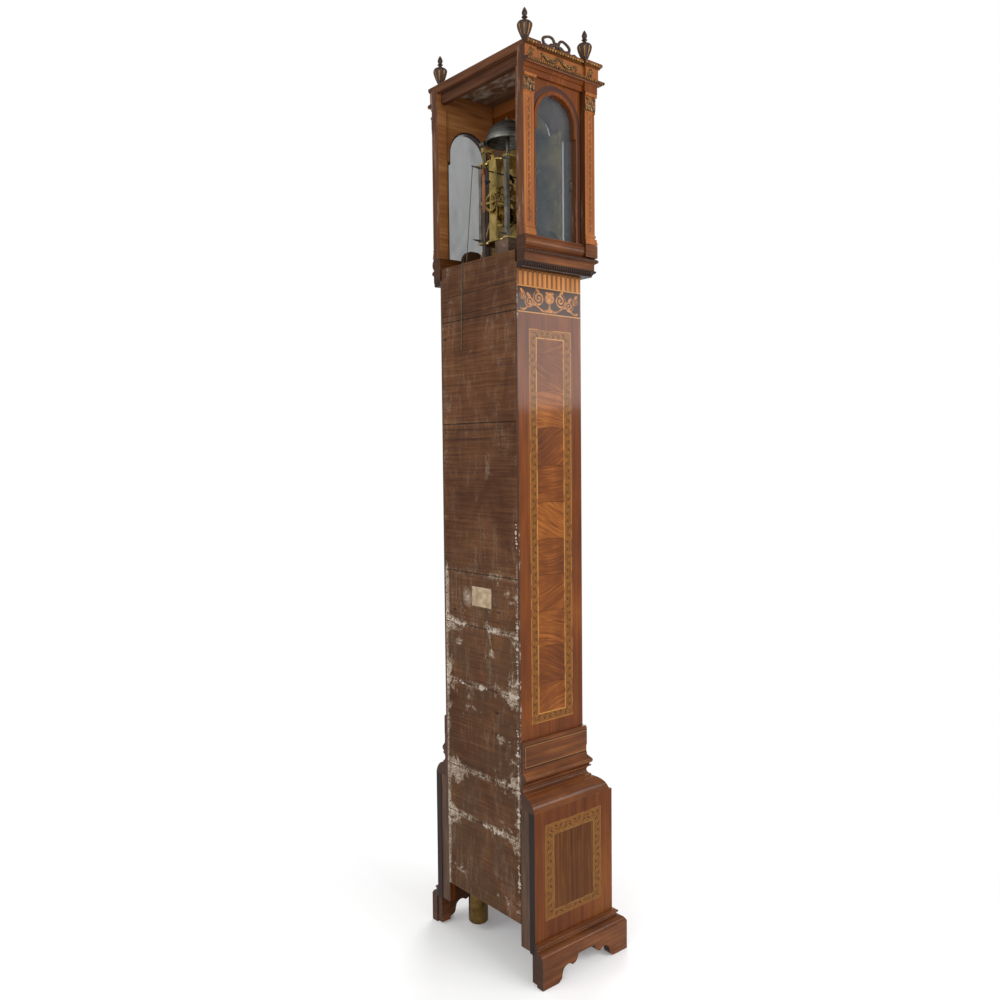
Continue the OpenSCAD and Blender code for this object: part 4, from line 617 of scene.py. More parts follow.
WARM_SIDE = ((0.056, 0.014, 0.003), (0.138, 0.034, 0.005), (0.25, 0.076, 0.012))
BORDER_TINTS = ((0.185, 0.068, 0.012), (0.036, 0.013, 0.004), (0.26, 0.105, 0.018))
WARM_FIELD = ((0.058, 0.014, 0.003), (0.155, 0.041, 0.006), (0.35, 0.115, 0.019))
STRING = (0.46, 0.205, 0.045)
# Heights of the inlaid frieze and of the flutes' tops.
FRIEZE_LOW, FRIEZE_HIGH, FLUTES_HIGH = 1.681, 1.744, 1.785
SHARP = 0.0006


def bordered(m, a, b, outer, inner, pitch, ground, leaf_tint, flower_tint, field, string=STRING):
    """Veneer outside, a running flower border between two light strings, a figured field inside. The strings lie
    where the distance to the outer or to the inner rectangle is nothing."""
    base, _ = veneer(m, a, b, WARM_SIDE)
    far_out = frame_distance(a, b, outer)
    far_in = frame_distance(a, b, inner)
    a0, a1, b0, b1 = outer
    level = (b - b0).min(b1 - b) < (a - a0).min(a1 - a)
    s = a * level + b * (1.0 - level)
    wide = (inner[0] - a0 + a1 - inner[1]) / 4
    leaf, flower = flower_band(m, s, far_out - wide, pitch, wide * 0.82)
    band = m.step(far_out, 0.0, SHARP) * m.below(far_in, 0.0, SHARP)
    mottle = m.grain(a * 90.0, b * 90.0, 0.3, 4.0, 0.7)
    ground = m.shade(ground, 0.45 + mottle * 1.1)
    leaf, flower = leaf * (0.50 + mottle * 0.6), flower * (0.40 + mottle * 0.5)
    border = m.mix(flower, m.mix(leaf, ground, leaf_tint), flower_tint)
    colour = m.mix(m.step(far_in, 0.0, SHARP), m.mix(band, base, border), field)
    broken = m.step(m.grain(a * 30.0, b * 30.0, 0.8, 3.0), 0.44, 0.06)
    strings = m.line(far_out, 0.0009, 0.0005) * broken * 0.7
    strings = strings.max(m.line(far_in, 0.0013, 0.0005) * (0.35 + broken * 0.65))
    return m.mix(strings, colour, string)


def urn_frieze(m, a, b, mid, half, low, high):
    """An urn between two scrolled leaves, inlaid in orange-yellow on the frieze's dark ground; it spans half
    to each side of mid, and v and w count its height and width from the middle in half heights."""
    v = (b - (low + high) / 2) / ((high - low) / 2) * 0.82
    w = abs(a - mid) * (2.75 / half)
    bowl = m.below((w / 0.44) ** 2.0 + ((v - 0.20) / 0.36) ** 2.0, 0.95, 0.2)
    lip = m.below(w, 0.38, 0.06) * m.band(v, 0.50, 0.64, 0.05)
    stem = m.below(w, 0.09, 0.05) * m.band(v, -0.62, 0.0, 0.05)
    foot = m.below(w, 0.36, 0.06) * m.band(v, -0.76, -0.60, 0.05)
    shape = bowl.max(lip).max(stem).max(foot)
    for at, size, lift in ((1.02, 0.50, 0.16), (1.85, 0.42, -0.14), (2.45, 0.28, 0.24)):
        p, q = w - at, v - lift
        far = (p * p + q * q) ** 0.5
        angle = m.math("ARCTAN2", q, p)
        coil = abs((far / size * 2.0 - angle / (2 * math.pi)) % 1.0 - 0.5)
        shape = shape.max(m.step(coil, 0.24, 0.1) * m.below(far, size, 0.05))
        leaf = ((p - size * 0.2) * 0.8 + (q - size * 1.05) * 0.6) ** 2.0 / 0.05 + (
            (q - size * 1.05) * 0.8 - (p - size * 0.2) * 0.6) ** 2.0 / 0.012
        shape = shape.max(m.below(leaf, 0.9, 0.3))
    stalk = m.line(v + 0.50 + (w * 3.2).sin() * 0.20, 0.07, 0.05)
    return shape.max(stalk * m.below(w, 2.7, 0.06)) * m.band(b, low, high, 0.0008)


def flute_row(m, a, b, a0, a1, low, high, count):
    """Upright inlaid flutes with round tops: returns the share of fill, and of the dark line round each."""
    pitch = (a1 - a0) / count
    u = (((a - a0) / pitch) % 1.0 - 0.5) * pitch
    half = pitch * 0.38
    over = (b - (high - half - 0.003)).max(0.0)
    round_top = (u * u + over * over) ** 0.5
    inside = m.step(b, low + 0.002, 0.0008) * m.band(a, a0, a1, 0.0005)
    line = m.line(round_top - half, 0.0011, 0.0007) * inside
    return m.below(round_top, half, 0.0008) * inside, line


FLUTE_PITCH = 0.0165
WARM_FLUTE = ((0.17, 0.060, 0.014), (0.30, 0.115, 0.027), (0.44, 0.18, 0.045))


def frieze_and_flutes(m, colour, a, a0, a1, mid, half):
    """Adds the inlaid frieze, the flutes above it and their light strings to a trunk veneer."""
    frieze = m.band(m.z, FRIEZE_LOW, FRIEZE_HIGH, SHARP) * m.band(a, a0, a1, SHARP)
    urn = urn_frieze(m, a, m.z, mid, half, FRIEZE_LOW + 0.002, FRIEZE_HIGH - 0.002)
    shadow = m.noise(m.place, 90.0, 3.0)
    figure = m.mix(m.step(shadow, 0.5, 0.3), (0.20, 0.060, 0.012), (0.47, 0.19, 0.036))
    colour = m.mix(frieze, colour, m.mix(urn, (0.036, 0.014, 0.007), figure))
    fill, line = flute_row(m, a, m.z, a0, a1, FRIEZE_HIGH, FLUTES_HIGH, round((a1 - a0) / FLUTE_PITCH))
    ground, _ = veneer(m, a, m.z, WARM_FLUTE)
    fluted = m.mix(line * 0.9, m.mix(fill, ground, m.shade(ground, 1.5)), (0.045, 0.016, 0.007))
    colour = m.mix(m.step(m.z, FRIEZE_HIGH, SHARP), colour, fluted)
    lines = m.line(m.z - FRIEZE_LOW, 0.0012, 0.0005).max(m.line(m.z - FRIEZE_HIGH, 0.0012, 0.0005))
    return m.mix(lines, colour, STRING)


def gloss(m, colour, tone, coat=0.16):
    """French polish over the veneer: a hard clear coat, with slight orange peel and rubbed patches."""
    rub = m.noise(m.place, 7.0, 4.0, 0.6)
    m.bump(tone * 0.15 + m.noise(m.place, 60.0, 2.0) * 0.1, 0.0005, 0.25)
    return m.finish(colour, 0.30 + rub * 0.22, 0.0, coat, 0.08, gleam=0.10)


def plank(m, along, across, warm, worn):
    """Unpolished board: grain along it, with pale streaks where the colour has worn off."""
    grain = m.grain(across * 190.0, along * 7.0, 0.6, 5.0, 0.65)
    rings = m.grain(across * 34.0, along * 2.4, 0.2, 4.0, 0.6, 0.8)
    wear = m.step(m.grain(across * 70.0, along * 6.0, 0.9, 6.0, 0.74), worn, 0.1)
    wood = m.ramp(grain * 0.45 + rings * 0.55, *zip((0.30, 0.50, 0.72), warm))
    return m.mix(wear * 0.6, wood, (0.36, 0.25, 0.17)), grain


BORDER_PITCH = 0.074
OAK_INSIDE = ((0.030, 0.012, 0.006), (0.070, 0.030, 0.014), (0.12, 0.056, 0.028))


def trunk_side_material():
    """The side's stacked field in its border, below the frieze and flutes; its rear edge is worn pale in patches,
    and the faces inside the case, with the cheek above the flutes, are bare oak."""
    m = Finish("trunk_side_veneer")
    field, tone = stacked(m, m.depth - 0.108, m.z, WARM_FIELD, 0.093)
    colour = bordered(m, m.depth, m.z, (0.040, 0.182, 0.646, 1.640), (0.063, 0.156, 0.668, 1.619),
                      BORDER_PITCH, *BORDER_TINTS, field)
    colour = frieze_and_flutes(m, colour, m.depth, 0.004, 0.215, 0.1095, 0.101)
    ragged = m.noise(m.place, 70.0, 5.0, 0.7)
    drift = m.step(m.grain(0.3, m.y, m.z * 5.0, 4.0, 0.7) + (1.0 - m.z) * 0.16, 0.50, 0.10)
    near_side = 0.10 + 0.90 * m.below(m.x, 0.0, 0.01)
    rear_edge = m.below(m.depth + (ragged - 0.40) * 0.040, 0.0032, 0.003) * drift * near_side
    dark_edge = m.below(m.depth, 0.0022, 0.0012)
    colour = m.mix(rear_edge * 0.8, m.mix(dark_edge * 0.7, colour, (0.030, 0.014, 0.008)), (0.40, 0.33, 0.26))
    inner, _ = plank(m, m.z, m.depth, OAK_INSIDE, 0.66)
    low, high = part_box("trunk_side_left")
    outward = m.step(abs(m.x), 0.1562, 0.0004).max(m.step(m.depth, high[1] - low[1] - 0.0008, 0.0004))
    outward = outward * m.below(m.z, FLUTES_HIGH + 0.0002, 0.0004)
    return gloss(m, m.mix(outward, inner, colour), tone)


def trunk_front_material():
    """Stiles and rails round the door, with the sides' frieze and flutes carried across the front."""
    m = Finish("trunk_front_veneer")
    base, grain = veneer(m, m.depth + m.x, m.z, WARM_SIDE)
    return gloss(m, frieze_and_flutes(m, base, abs(m.x), 0.0005, 0.1535, 0.077, 0.073), grain)


def trunk_door_material():
    """The door's stacked field inside the same running border as the sides; both follow the door's own size."""
    m = Finish("trunk_door_veneer")
    low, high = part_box("trunk_door")
    reach = (high[0] - low[0]) / 2
    outer, inner = ((inset - reach, reach - inset, low[2] + inset, high[2] - inset) for inset in (0.020, 0.043))
    field, tone = stacked(m, m.x, m.z, WARM_FIELD, 0.120)
    return gloss(m, bordered(m, m.x, m.z, outer, inner, BORDER_PITCH, *BORDER_TINTS, field), tone)


WARM_BASE = ((0.038, 0.010, 0.001), (0.100, 0.028, 0.003), (0.19, 0.064, 0.009))
DULL_STRING = (0.24, 0.125, 0.036)
BASE_TINTS = ((0.205, 0.078, 0.013), (0.060, 0.022, 0.006), (0.29, 0.120, 0.020))
BASE_PITCH = 0.066
FILLER_STRIP = 0.021


def facing(m):
    """How much a surface looks sideways, backwards and towards the front."""
    split = m.node("ShaderNodeSeparateXYZ", {}, {0: m.node("ShaderNodeNewGeometry").outputs["Normal"]})
    x, y = Num(m, split.outputs[0]), Num(m, split.outputs[1])
    return m.step(abs(x), 0.7, 0.1), m.step(y, 0.7, 0.1), m.step(-y, 0.7, 0.1)


def base_material():
    """Leaning slices of veneer in a duller border on each side and on the front, and bare filler strips behind."""
    m = Finish("base_veneer")
    on_side, _, _ = facing(m)
    front_field, _ = figured(m, m.x, m.z, WARM_BASE, 0.08)
    side_field, tone = figured(m, m.depth - 0.138, m.z, WARM_BASE, 0.06)
    side = bordered(m, m.depth, m.z, (0.036, 0.236, 0.155, 0.400), (0.066, 0.208, 0.174, 0.370),
                    BASE_PITCH, *BASE_TINTS, side_field, DULL_STRING)
    front = bordered(m, m.x, m.z, (-0.165, 0.165, 0.155, 0.400), (-0.135, 0.135, 0.180, 0.375),
                     BASE_PITCH, *BASE_TINTS, front_field, DULL_STRING)
    on_back = m.step(m.y, BACK_Y - FILLER_STRIP, 0.0004) * (1.0 - on_side)
    filler = m.ramp(m.grain(m.x * 50.0, m.y * 50.0, m.z * 6.0, 5.0, 0.7),
                    (0.30, (0.035, 0.016, 0.009)), (0.70, (0.13, 0.070, 0.040)))
    filler = m.mix(m.step(abs(m.x), 0.1855, 0.0006), filler, (0.016, 0.009, 0.007))
    colour = m.mix(on_back, m.mix(on_side, front, side), filler)
    return gloss(m, m.shade(colour, 0.88), tone, 0.08)


def moulding_material(name, warm, coat=0.14, lined=None):
    """Run mouldings: the grain runs along them, round the case. On the solid named by lined, a light string and a
    dark line follow the edge of each flat face."""
    m = Finish(name)
    along = m.depth + m.x
    grain = m.grain(along * 5.0, m.z * 160.0, 0.4, 5.0, 0.65)
    cloud = m.grain(along * 9.0, m.z * 30.0, 0.7, 3.0)
    colour = m.ramp(grain * 0.55 + cloud * 0.45, *zip((0.30, 0.50, 0.72), warm))
    side, rear, fore = facing(m)
    if lined:
        low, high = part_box(lined)
        up = (low[2] + 0.102, high[2] - 0.010)
        side_box = (0.006, high[1] - low[1] - 0.022, *up)
        front_box = (low[0] + 0.075, high[0] - 0.075, *up)
        far = frame_distance(m.depth, m.z, side_box) * side + frame_distance(m.x, m.z, front_box) * fore
        flat = side.max(fore) * m.step(m.z, low[2] + 0.0935, 0.0005)
        string, edge = m.line(far - 0.003, 0.0008, 0.0005) * flat, m.line(far, 0.0014, 0.0006) * flat
        colour = m.mix(string, m.mix(edge * 0.8, colour, (0.030, 0.011, 0.005)), DULL_STRING)
    return gloss(m, m.mix(rear * 0.72, colour, (0.020, 0.011, 0.008)), grain, coat)


WARM_MOULD = ((0.050, 0.014, 0.004), (0.118, 0.036, 0.010), (0.23, 0.080, 0.021))
WARM_DARK = ((0.012, 0.006, 0.004), (0.032, 0.015, 0.009), (0.07, 0.034, 0.018))
# The hood's inside boards: bare wood, its colour raised far above the wood's own as painted light for the light through
# the open back.
LIT_INNER_WOOD = ((0.13, 0.045, 0.014), (0.34, 0.135, 0.042), (0.56, 0.27, 0.10))
REAR_WOOD = ((0.026, 0.009, 0.004), (0.092, 0.031, 0.011), (0.185, 0.070, 0.025))
CROSSBAND = ((0.028, 0.010, 0.008), (0.060, 0.022, 0.015), (0.11, 0.045, 0.026))
WARM_POST = ((0.13, 0.036, 0.009), (0.28, 0.088, 0.020), (0.45, 0.165, 0.040))
# The side window: its middle's depth, its foot, where its arch springs, and how far up the crossband goes.
WINDOW_MID, WINDOW_FOOT, WINDOW_SPRING, WINDOW_TOP = 0.110, 1.862, 2.150, 2.243
BAND_REACH = (0.0725, 0.0860)
HOOD_FRIEZE = (2.278, 2.309)
HOOD_INSIDE, HOOD_REAR = 0.1665, 0.198
VINE_HEIGHTS = (1.892, 2.192)


def hood_material():
    """Veneer outside with a dark crossband round the window arch and a warmer frieze, and bare boards inside, painted
    much lighter than their wood as painted light through the open back; worn end planks where the sides look backwards."""
    m = Finish("hood_veneer")
    _, rear, _ = facing(m)
    outer, grain = veneer(m, m.depth + m.x, m.z, WARM_SIDE)
    window = m.depth - WINDOW_MID
    arch = (window * window + (m.z - WINDOW_SPRING).max(0.0) ** 2.0) ** 0.5
    cross = m.band(arch, *BAND_REACH, SHARP) * m.step(abs(m.x), 0.175, 0.002)
    cross = cross * m.band(m.z, WINDOW_FOOT, WINDOW_TOP, 0.001)
    dark, _ = veneer(m, arch * 3.0, m.depth + m.z, CROSSBAND)
    colour = m.mix(cross, outer, dark)
    frieze = m.band(m.z, *HOOD_FRIEZE, 0.001)
    colour = m.mix(frieze, colour, m.mix(grain * 0.6, (0.20, 0.060, 0.014), (0.42, 0.155, 0.040)))
    # Painted light: the inside boards are painted much lighter than their wood, standing in for light through the open
    # back.
    inner, _ = plank(m, m.depth + m.x, m.z, LIT_INNER_WOOD, 0.66)
    back, _ = plank(m, m.z, m.x, REAR_WOOD, 0.60)
    hidden = m.line(m.x, HOOD_INSIDE, 0.001) * m.below(m.depth, HOOD_REAR, 0.001)
    colour = m.mix(hidden, colour, inner)
    return gloss(m, m.mix(rear * m.below(m.depth, HOOD_REAR + 0.001, 0.001), colour, back), grain)


def vine_post_material(name, side_mid, front_mid):
    """Orange ground with a dark trailing vine down the middle of each face, between two fine lines."""
    m = Finish(name)
    side, rear, fore = facing(m)
    ground, grain = veneer(m, m.depth + m.x, m.z, WARM_POST)
    t = (m.depth - side_mid) * side + (abs(m.x) - front_mid) * (1.0 - side)
    leaf, flower = flower_band(m, m.z, t, 0.040, 0.0062)
    high = m.band(m.z, *VINE_HEIGHTS, 0.001)
    vine = leaf.max(flower) * m.line(t, 0.0066, 0.0004) * high
    line = m.line(abs(t) - 0.0085, 0.0005, 0.0004) * high
    colour = m.mix(vine.max(line) * side.max(fore), ground, (0.050, 0.016, 0.008))
    back, _ = plank(m, m.z, m.x, REAR_WOOD, 0.60)
    return gloss(m, m.mix(rear, colour, back), grain)


dress(trunk_side_material(), "trunk_side_left", "trunk_side_right")
dress(base_material(), "base_panels")
dress(trunk_front_material(), "trunk_front_frame")
dress(trunk_door_material(), "trunk_door")
dress(hood_material(), "hood_sides", "hood_entablature")
dress(vine_post_material("pilaster_inlay", side_mid=0.017, front_mid=0.9), "hood_pilasters")
dress(vine_post_material("door_post_inlay", side_mid=0.218, front_mid=0.1815), "hood_door_frame")
dress(moulding_material("polished_waist", WARM_MOULD, 0.14, "waist_moulding"), "waist_moulding")
dress(moulding_material("polished_moulding", WARM_MOULD), "base_moulding", "bracket_feet",
      "hood_cornice", "hood_base_frame")
dress(moulding_material("dark_throat", WARM_DARK, 0.12), "throat_moulding")

# Carved and gilded work of the hood.
# Turned and lobed urn finials, ribbon crests, an egg row on the crown, bead rows, swags on the frieze, scrolls on
# the corner blocks and leaves round the capitals: umber wood, gilt on what stands out, glued on.
HOOD_FACE, FRONT_FACE = 187, 243
RELIEF_OUT, BLOCK_OUT = 0.9, 7.9
SCROLL_LOW, SCROLL_HIGH, SCROLL_WIDE = 2280, 2306, 17
SWAG_TOP, CROWN_TOP = 2302, 2320


def lathe(profile, lobes, deep, rows, sides):
    """Profile of radius, height and lobe share turned about an upright line; lobes swell and cut its radius."""
    ring = smooth_path(profile, rows)
    radius, height, share = np.maximum(ring[:, 0], 0), ring[:, 1], np.clip(ring[:, 2], 0, 1)
    turn = np.linspace(0, 2 * np.pi, sides, endpoint=False)[None, :]
    swell = abs(np.cos(turn * lobes / 2))
    far = radius[:, None] * (1 + deep * share[:, None] * (swell - 1))
    grid = points_at(far * np.cos(turn), far * np.sin(turn), height[:, None])
    return surface(grid), (share[:, None] * swell).ravel()


def ribbon(path, wide, thick, sides=8):
    """A strip that lies flat on a face: its width runs across the path and square to the way out."""
    path = np.asarray(path, float)
    return strip(path, np.cross(UPRIGHT, unit(np.gradient(path, axis=0))), wide, thick, sides)


def on_face(shape, *sides):
    """Puts a shape drawn on (along, up, out) on the hood's left side, right side or front, or on several of them.
    Out counts from the clock's middle line on a side and from its back on the front; along is depth or width."""
    points, quads = shape
    along, up, out = points.T
    ways = {"left": (-out, BACK_MM - along, up), "right": (out, BACK_MM - along, up),
            "front": (along, BACK_MM - out, up)}
    return join(*[(np.stack(ways[side], 1), quads[:, ::-1] if side == "right" else quads) for side in sides])


DARK_UMBER = (0.036, 0.015, 0.007)
OLD_GILT = (0.42, 0.225, 0.055)
WORN_GILT = (0.26, 0.115, 0.030)


def gilt_wood_material(name, gilt, share=None):
    """Carved wood, gilt where share is high and rubbed through to the brown ground on the rest; without a share,
    the piece's own tint says it."""
    m = Finish(name)
    worn = m.noise(m.place, 160.0, 4.0, 0.65)
    if share is None:
        share = Num(m, m.node("ShaderNodeAttribute", {"attribute_name": "tint"}).outputs["Fac"])
    on = m.step(share + (worn - 0.5) * 0.9, 0.62, 0.25)
    m.bump(worn, 0.0004, 0.4)
    return m.finish(m.mix(on, DARK_UMBER, gilt), 0.42 - on * 0.1, on * 0.75, gleam=0.3)


urn_profile = [(0, 0, 0), (8.5, 0, 0), (8.5, 2, 0), (5.5, 3.5, 0), (4.8, 5.5, 0), (7.5, 10, 0.4), (11.0, 17, 1),
               (14.5, 25, 1), (17.4, 33, 1), (18.9, 40, 1), (18.6, 44.5, 0.6), (16.2, 48, 0.1), (11.5, 50.5, 0),
               (7.2, 52.5, 0), (4.6, 55.5, 0), (4.4, 57.5, 0), (7.2, 59, 0), (7.2, 60.6, 0), (4.2, 62, 0),
               (5.6, 65, 0.3), (6.9, 69, 0.6), (6.2, 74, 0.5), (3.6, 79.5, 0.2), (1.2, 83.4, 0), (0, 84, 0)]
urn_shape, urn_tint = lathe(urn_profile, 8, 0.14, 4, 80)
FINIAL_PLACES = [(s * x, y, CROWN_TOP) for x, y in ((172, 133.5), (176, -66)) for s in (-1, 1)]
urns = piece("urn_finials", in_metres(repeat(urn_shape, FINIAL_PLACES)),
             gilt_wood_material("umber_and_gilt", WORN_GILT), "hood",
             tint=np.tile(urn_tint ** 9, len(FINIAL_PLACES)))
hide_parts("finials")


def bow(mid, base, out, loop=40, tall=33, tail=71, wide=8.2, thick=6.4):
    """A ribbon bow: two open oval loops either side of a knot, and two waved tails that run out low."""
    turn = np.linspace(0, 2 * np.pi, 41)
    sway = 1 + 0.12 * np.sin(2 * turn)
    loop_up = base + tall * 0.52 + (tall / 2 - wide / 2) * np.sin(turn) * sway
    t = np.linspace(0, 1, 25)
    tail_up = base + wide / 2 + 9 * (1 - t) ** 2 + 2.2 * np.sin(t * 9) ** 2
    shapes = []
    for s in (-1, 1):
        path = points_at(mid + s * (6 + loop / 2 - loop / 2 * np.cos(turn) * 0.94), loop_up,
                         out + 0.8 * np.sin(turn * 2))
        shapes.append(ribbon(path, wide * (0.78 + 0.22 * np.cos(turn) ** 2), thick, 10))
        path = points_at(mid + s * (4 + (tail - 4) * t), tail_up, out)
        shapes.append(ribbon(path, wide * (0.55 + 0.45 * np.sin(t * 9) ** 2), thick * 0.8, 8))
    shapes.append(repeat(lump(8, 12), [(mid, base + tall * 0.45, out)], (7, 8, thick * 0.62)))
    shapes.append(repeat(lump(6, 10), [(mid, base + 4, out)], (9, 4.2, thick * 0.5)))
    return join(*shapes)


crest_shape = join(on_face(bow(114, CROWN_TOP, 182.5), "left", "right"), on_face(bow(0, CROWN_TOP, 235.5), "front"))
crests = piece("ribbon_crests", in_metres(crest_shape), gilt_wood_material("umber_ribbon", WORN_GILT, 0.46),
               "hood")
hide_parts("crests")


def round_hood(pitch, out, front, rear, block=0, block_rear=38, block_front=200, block_side=158):
    """Places a pitch apart along the left side, the front and the right side; block is how far the corner
    blocks stand forward of the run between them."""
    depth = np.arange(rear + pitch / 2, front, pitch)
    stands = block * ((depth < block_rear) | (depth > block_front))
    left = points_at(-(out + stands), BACK_MM - depth, 0)
    x = np.arange(-out + pitch / 2, out, pitch)
    middle = points_at(x, BACK_MM - front - block * (abs(x) > block_side), 0)
    return np.vstack([left, middle, left * [-1, 1, 1]])


def bead_row(name, rows, run, up, size, material, body="hood"):
    """One row of small balls, eight-sided and squashed to a size, round the hood at one height."""
    places = round_hood(*run) + [0, 0, up]
    piece(name, in_metres(repeat(lump(rows, 8), places, size)), material, body)


gilt_row = gilt_wood_material("gilt_beading", OLD_GILT, 0.62)
gilt_capital = gilt_wood_material("gilt_capital", OLD_GILT, 0.54)
bead_row("crown_eggs", 6, (8.6, 194.2, 250.2, 0, 6.6), 2313.6, (3.5, 3.5, 4.0), gilt_row)
bead_row("corona_beads", 5, (6.1, 205.2, 261.2, 0), 2271.6, (2.5, 1.9, 3.1), gilt_row)


def swag(a, b, top, sag, out):
    """Cloth swag: a parabola hung between two places, thickest in its middle, over a thinner one."""
    t = np.linspace(0, 1, 29)
    hang = 4 * t * (1 - t)
    along = a + (b - a) * t
    upper = points_at(along, top - sag * hang * 0.62, out + 1.2 * hang)
    lower = points_at(along, top - sag * hang, out + 1.8 * hang)
    return join(ribbon(upper, 2.2 + 2.2 * hang, 2.6 + hang), ribbon(lower, 2.2 + 4.0 * hang, 3.0 + 2.0 * hang))


def drop(at, top, long, out):
    """The gathered tail below a knot: narrow at the knot, full lower down."""
    t = np.linspace(0, 1, 15)
    path = points_at(at + 0.8 * np.sin(t * 7), top - long * t, out)
    return ribbon(path, 2.0 + 4.5 * t ** 0.7 * (1.02 - t) ** 0.2, 3.0)


def frieze_swags(mid, half, out):
    """A small bow in the middle of the frieze, a swag to each side of it, and a drop at each end."""
    t = np.linspace(0, 2 * np.pi, 21)
    knots = [(mid, SWAG_TOP, out)] + [(mid + s * half, SWAG_TOP - 2, out) for s in (-1, 1)]
    shapes = [repeat(lump(6, 8), knots, (2.8, 2.8, 2.4))]
    for s in (-1, 1):
        loop = points_at(mid + s * (6.5 - 5 * np.cos(t)), SWAG_TOP + 2.8 * np.sin(t), out)
        shapes += [ribbon(loop, 2.0, 2.4), swag(mid, mid + s * half, SWAG_TOP - 1, 14, out),
                   drop(mid + s * half, SWAG_TOP - 3, 18, out)]
    return join(*shapes)


def scroll(mid, face):
    """An S scroll on a corner block: its two ends wind inwards as spirals of falling radius."""
    t = np.linspace(-1, 1, 57)
    tall = SCROLL_HIGH - SCROLL_LOW
    turn = np.pi * 1.55 * t * abs(t) ** 0.35
    reach = (1 - abs(t)) ** 0.55
    centre_up = (SCROLL_LOW + SCROLL_HIGH) / 2 + np.sign(t) * tall * 0.25 * np.minimum(1, abs(t) * 2.4)
    radius = tall * 0.235 * np.clip(1.15 - abs(t), 0.12, 1)
    path = points_at(mid + SCROLL_WIDE * 0.5 * np.sin(turn) * np.clip(reach + 0.25, 0, 1),
                     centre_up - radius * np.cos(turn) * np.sign(t), face + BLOCK_OUT)
    return ribbon(path, 1.4 + 3.0 * (1 - abs(t)), 2.6)


side_relief = join(frieze_swags(119, 58, HOOD_FACE + RELIEF_OUT), scroll(221, HOOD_FACE), scroll(19, HOOD_FACE))
front_relief = join(*[frieze_swags(mid, 46, FRONT_FACE + RELIEF_OUT) for mid in (-62, 62)],
                    *[scroll(mid, FRONT_FACE) for mid in (-176, 176)])
piece("frieze_relief", in_metres(join(on_face(side_relief, "left", "right"), on_face(front_relief, "front"))),
      gilt_wood_material("gilt_relief", OLD_GILT, 0.56), "hood")


def leaf(at, low, tall, wide, out, curl=3.4):
    """A carved leaf: it rises flat against the block, then its tip rolls outwards and over."""
    t = np.linspace(0, 1, 13)
    roll = np.clip((t - 0.62) / 0.38, 0, 1) * np.pi * 0.9
    path = points_at(at, low + tall * np.minimum(t, 0.62) / 0.62 * 0.86 + curl * np.sin(roll) * 0.6,
                     out + 0.5 + curl * (1 - np.cos(roll)) * 0.55)
    return strip(path, (1, 0, 0), wide * np.sin(np.pi * np.clip(t * 0.8 + 0.18, 0, 1)) ** 0.6, 1.8, 8)


def leaf_rows(a, b, low, tall, out, count):
    """Two tiers of leaves, the upper tier between the leaves of the lower."""
    pitch = (b - a) / count
    lower = [leaf(a + (k + 0.5) * pitch, low, tall * 0.56, pitch * 0.95, out) for k in range(count)]
    upper = [leaf(a + (k + 1) * pitch, low + tall * 0.34, tall * 0.66, pitch * 0.85, out - 0.4)
             for k in range(count - 1)]
    return join(*lower, *upper)


def volutes(a, b, up, out):
    """Two small spirals that turn outwards under the abacus, one at each end of a capital's face."""
    t = np.linspace(0, 1, 25)
    turn, reach = 4.2 * np.pi * t, 4.6 * (1 - 0.85 * t)
    return join(*[ribbon(points_at(at + s * (reach * np.cos(turn) - 1.5), up + reach * np.sin(turn), out + 1.4 * t),
                         2.0, 3.0, 6) for at, s in ((a + 5, -1), (b - 5, 1))])


def capital(a, b, low, tall, out, count, volutes_up, volutes_out):
    """One face of a capital: two tiers of leaves, and the volutes over them."""
    return join(leaf_rows(a, b, low, tall, out, count), volutes(a, b, volutes_up, volutes_out))


pilaster_leaves = on_face(capital(0.5, 35.5, 2203, 30, 189, 4, 2230, 190.4), "left", "right")
piece("pilaster_capital_leaves", in_metres(pilaster_leaves), gilt_capital, "hood")
post_side = capital(200.5, 236.5, 2196, 32, 196.5, 4, 2226.5, 198)
post_front = capital(168.5, 196, 2196, 32, 237, 3, 2226.5, 238.5)
mirrored_front = (post_front[0] * [-1, 1, 1], post_front[1][:, ::-1])
post_leaves = join(on_face(post_side, "left", "right"), on_face(post_front, "front"), on_face(mirrored_front, "front"))
piece("door_post_capital_leaves", in_metres(post_leaves), gilt_capital, "hood_door")

dark_bead = moulding_material("dark_carved_beads", WARM_DARK, 0.12)
bead_row("hood_base_beads", 6, (7.6, 192.6, 245.4, 0), 1823.5, (3.5, 3.8, 5.4), dark_bead, "hood")
bead_row("throat_beads", 6, (7.6, 186.0, 228.0, 1), 1792, (3.5, 3.6, 5.6), dark_bead, "case")

# Plain inner wood.
# Unpolished oak and pine where nobody looks: the seat board that carries the movement, the dial mask and the
# roof boards, nailed to the sides.


def inner_wood(name, dark, light, worn):
    """Sawn board with coarse and fine grain, and pale wear; worn is how much of it shows."""
    m = Finish(name)
    grain = m.grain(m.x * 7.0, m.y * 7.0, m.z * 60.0, 5.0, 0.65)
    fine = m.grain(m.x * 90.0, m.y * 400.0, m.z * 400.0, 3.0, 0.6)
    wear = m.step(m.grain(m.x * 16.0, m.y * 60.0, m.z * 60.0, 6.0, 0.72), 1.0 - worn, 0.12)
    wood = m.ramp(grain * 0.7 + fine * 0.3, (0.30, dark), (0.72, light))
    m.bump(grain + fine, 0.0008, 0.5)
    return m.finish(m.mix(wear, wood, (0.50, 0.40, 0.30)), 0.75)


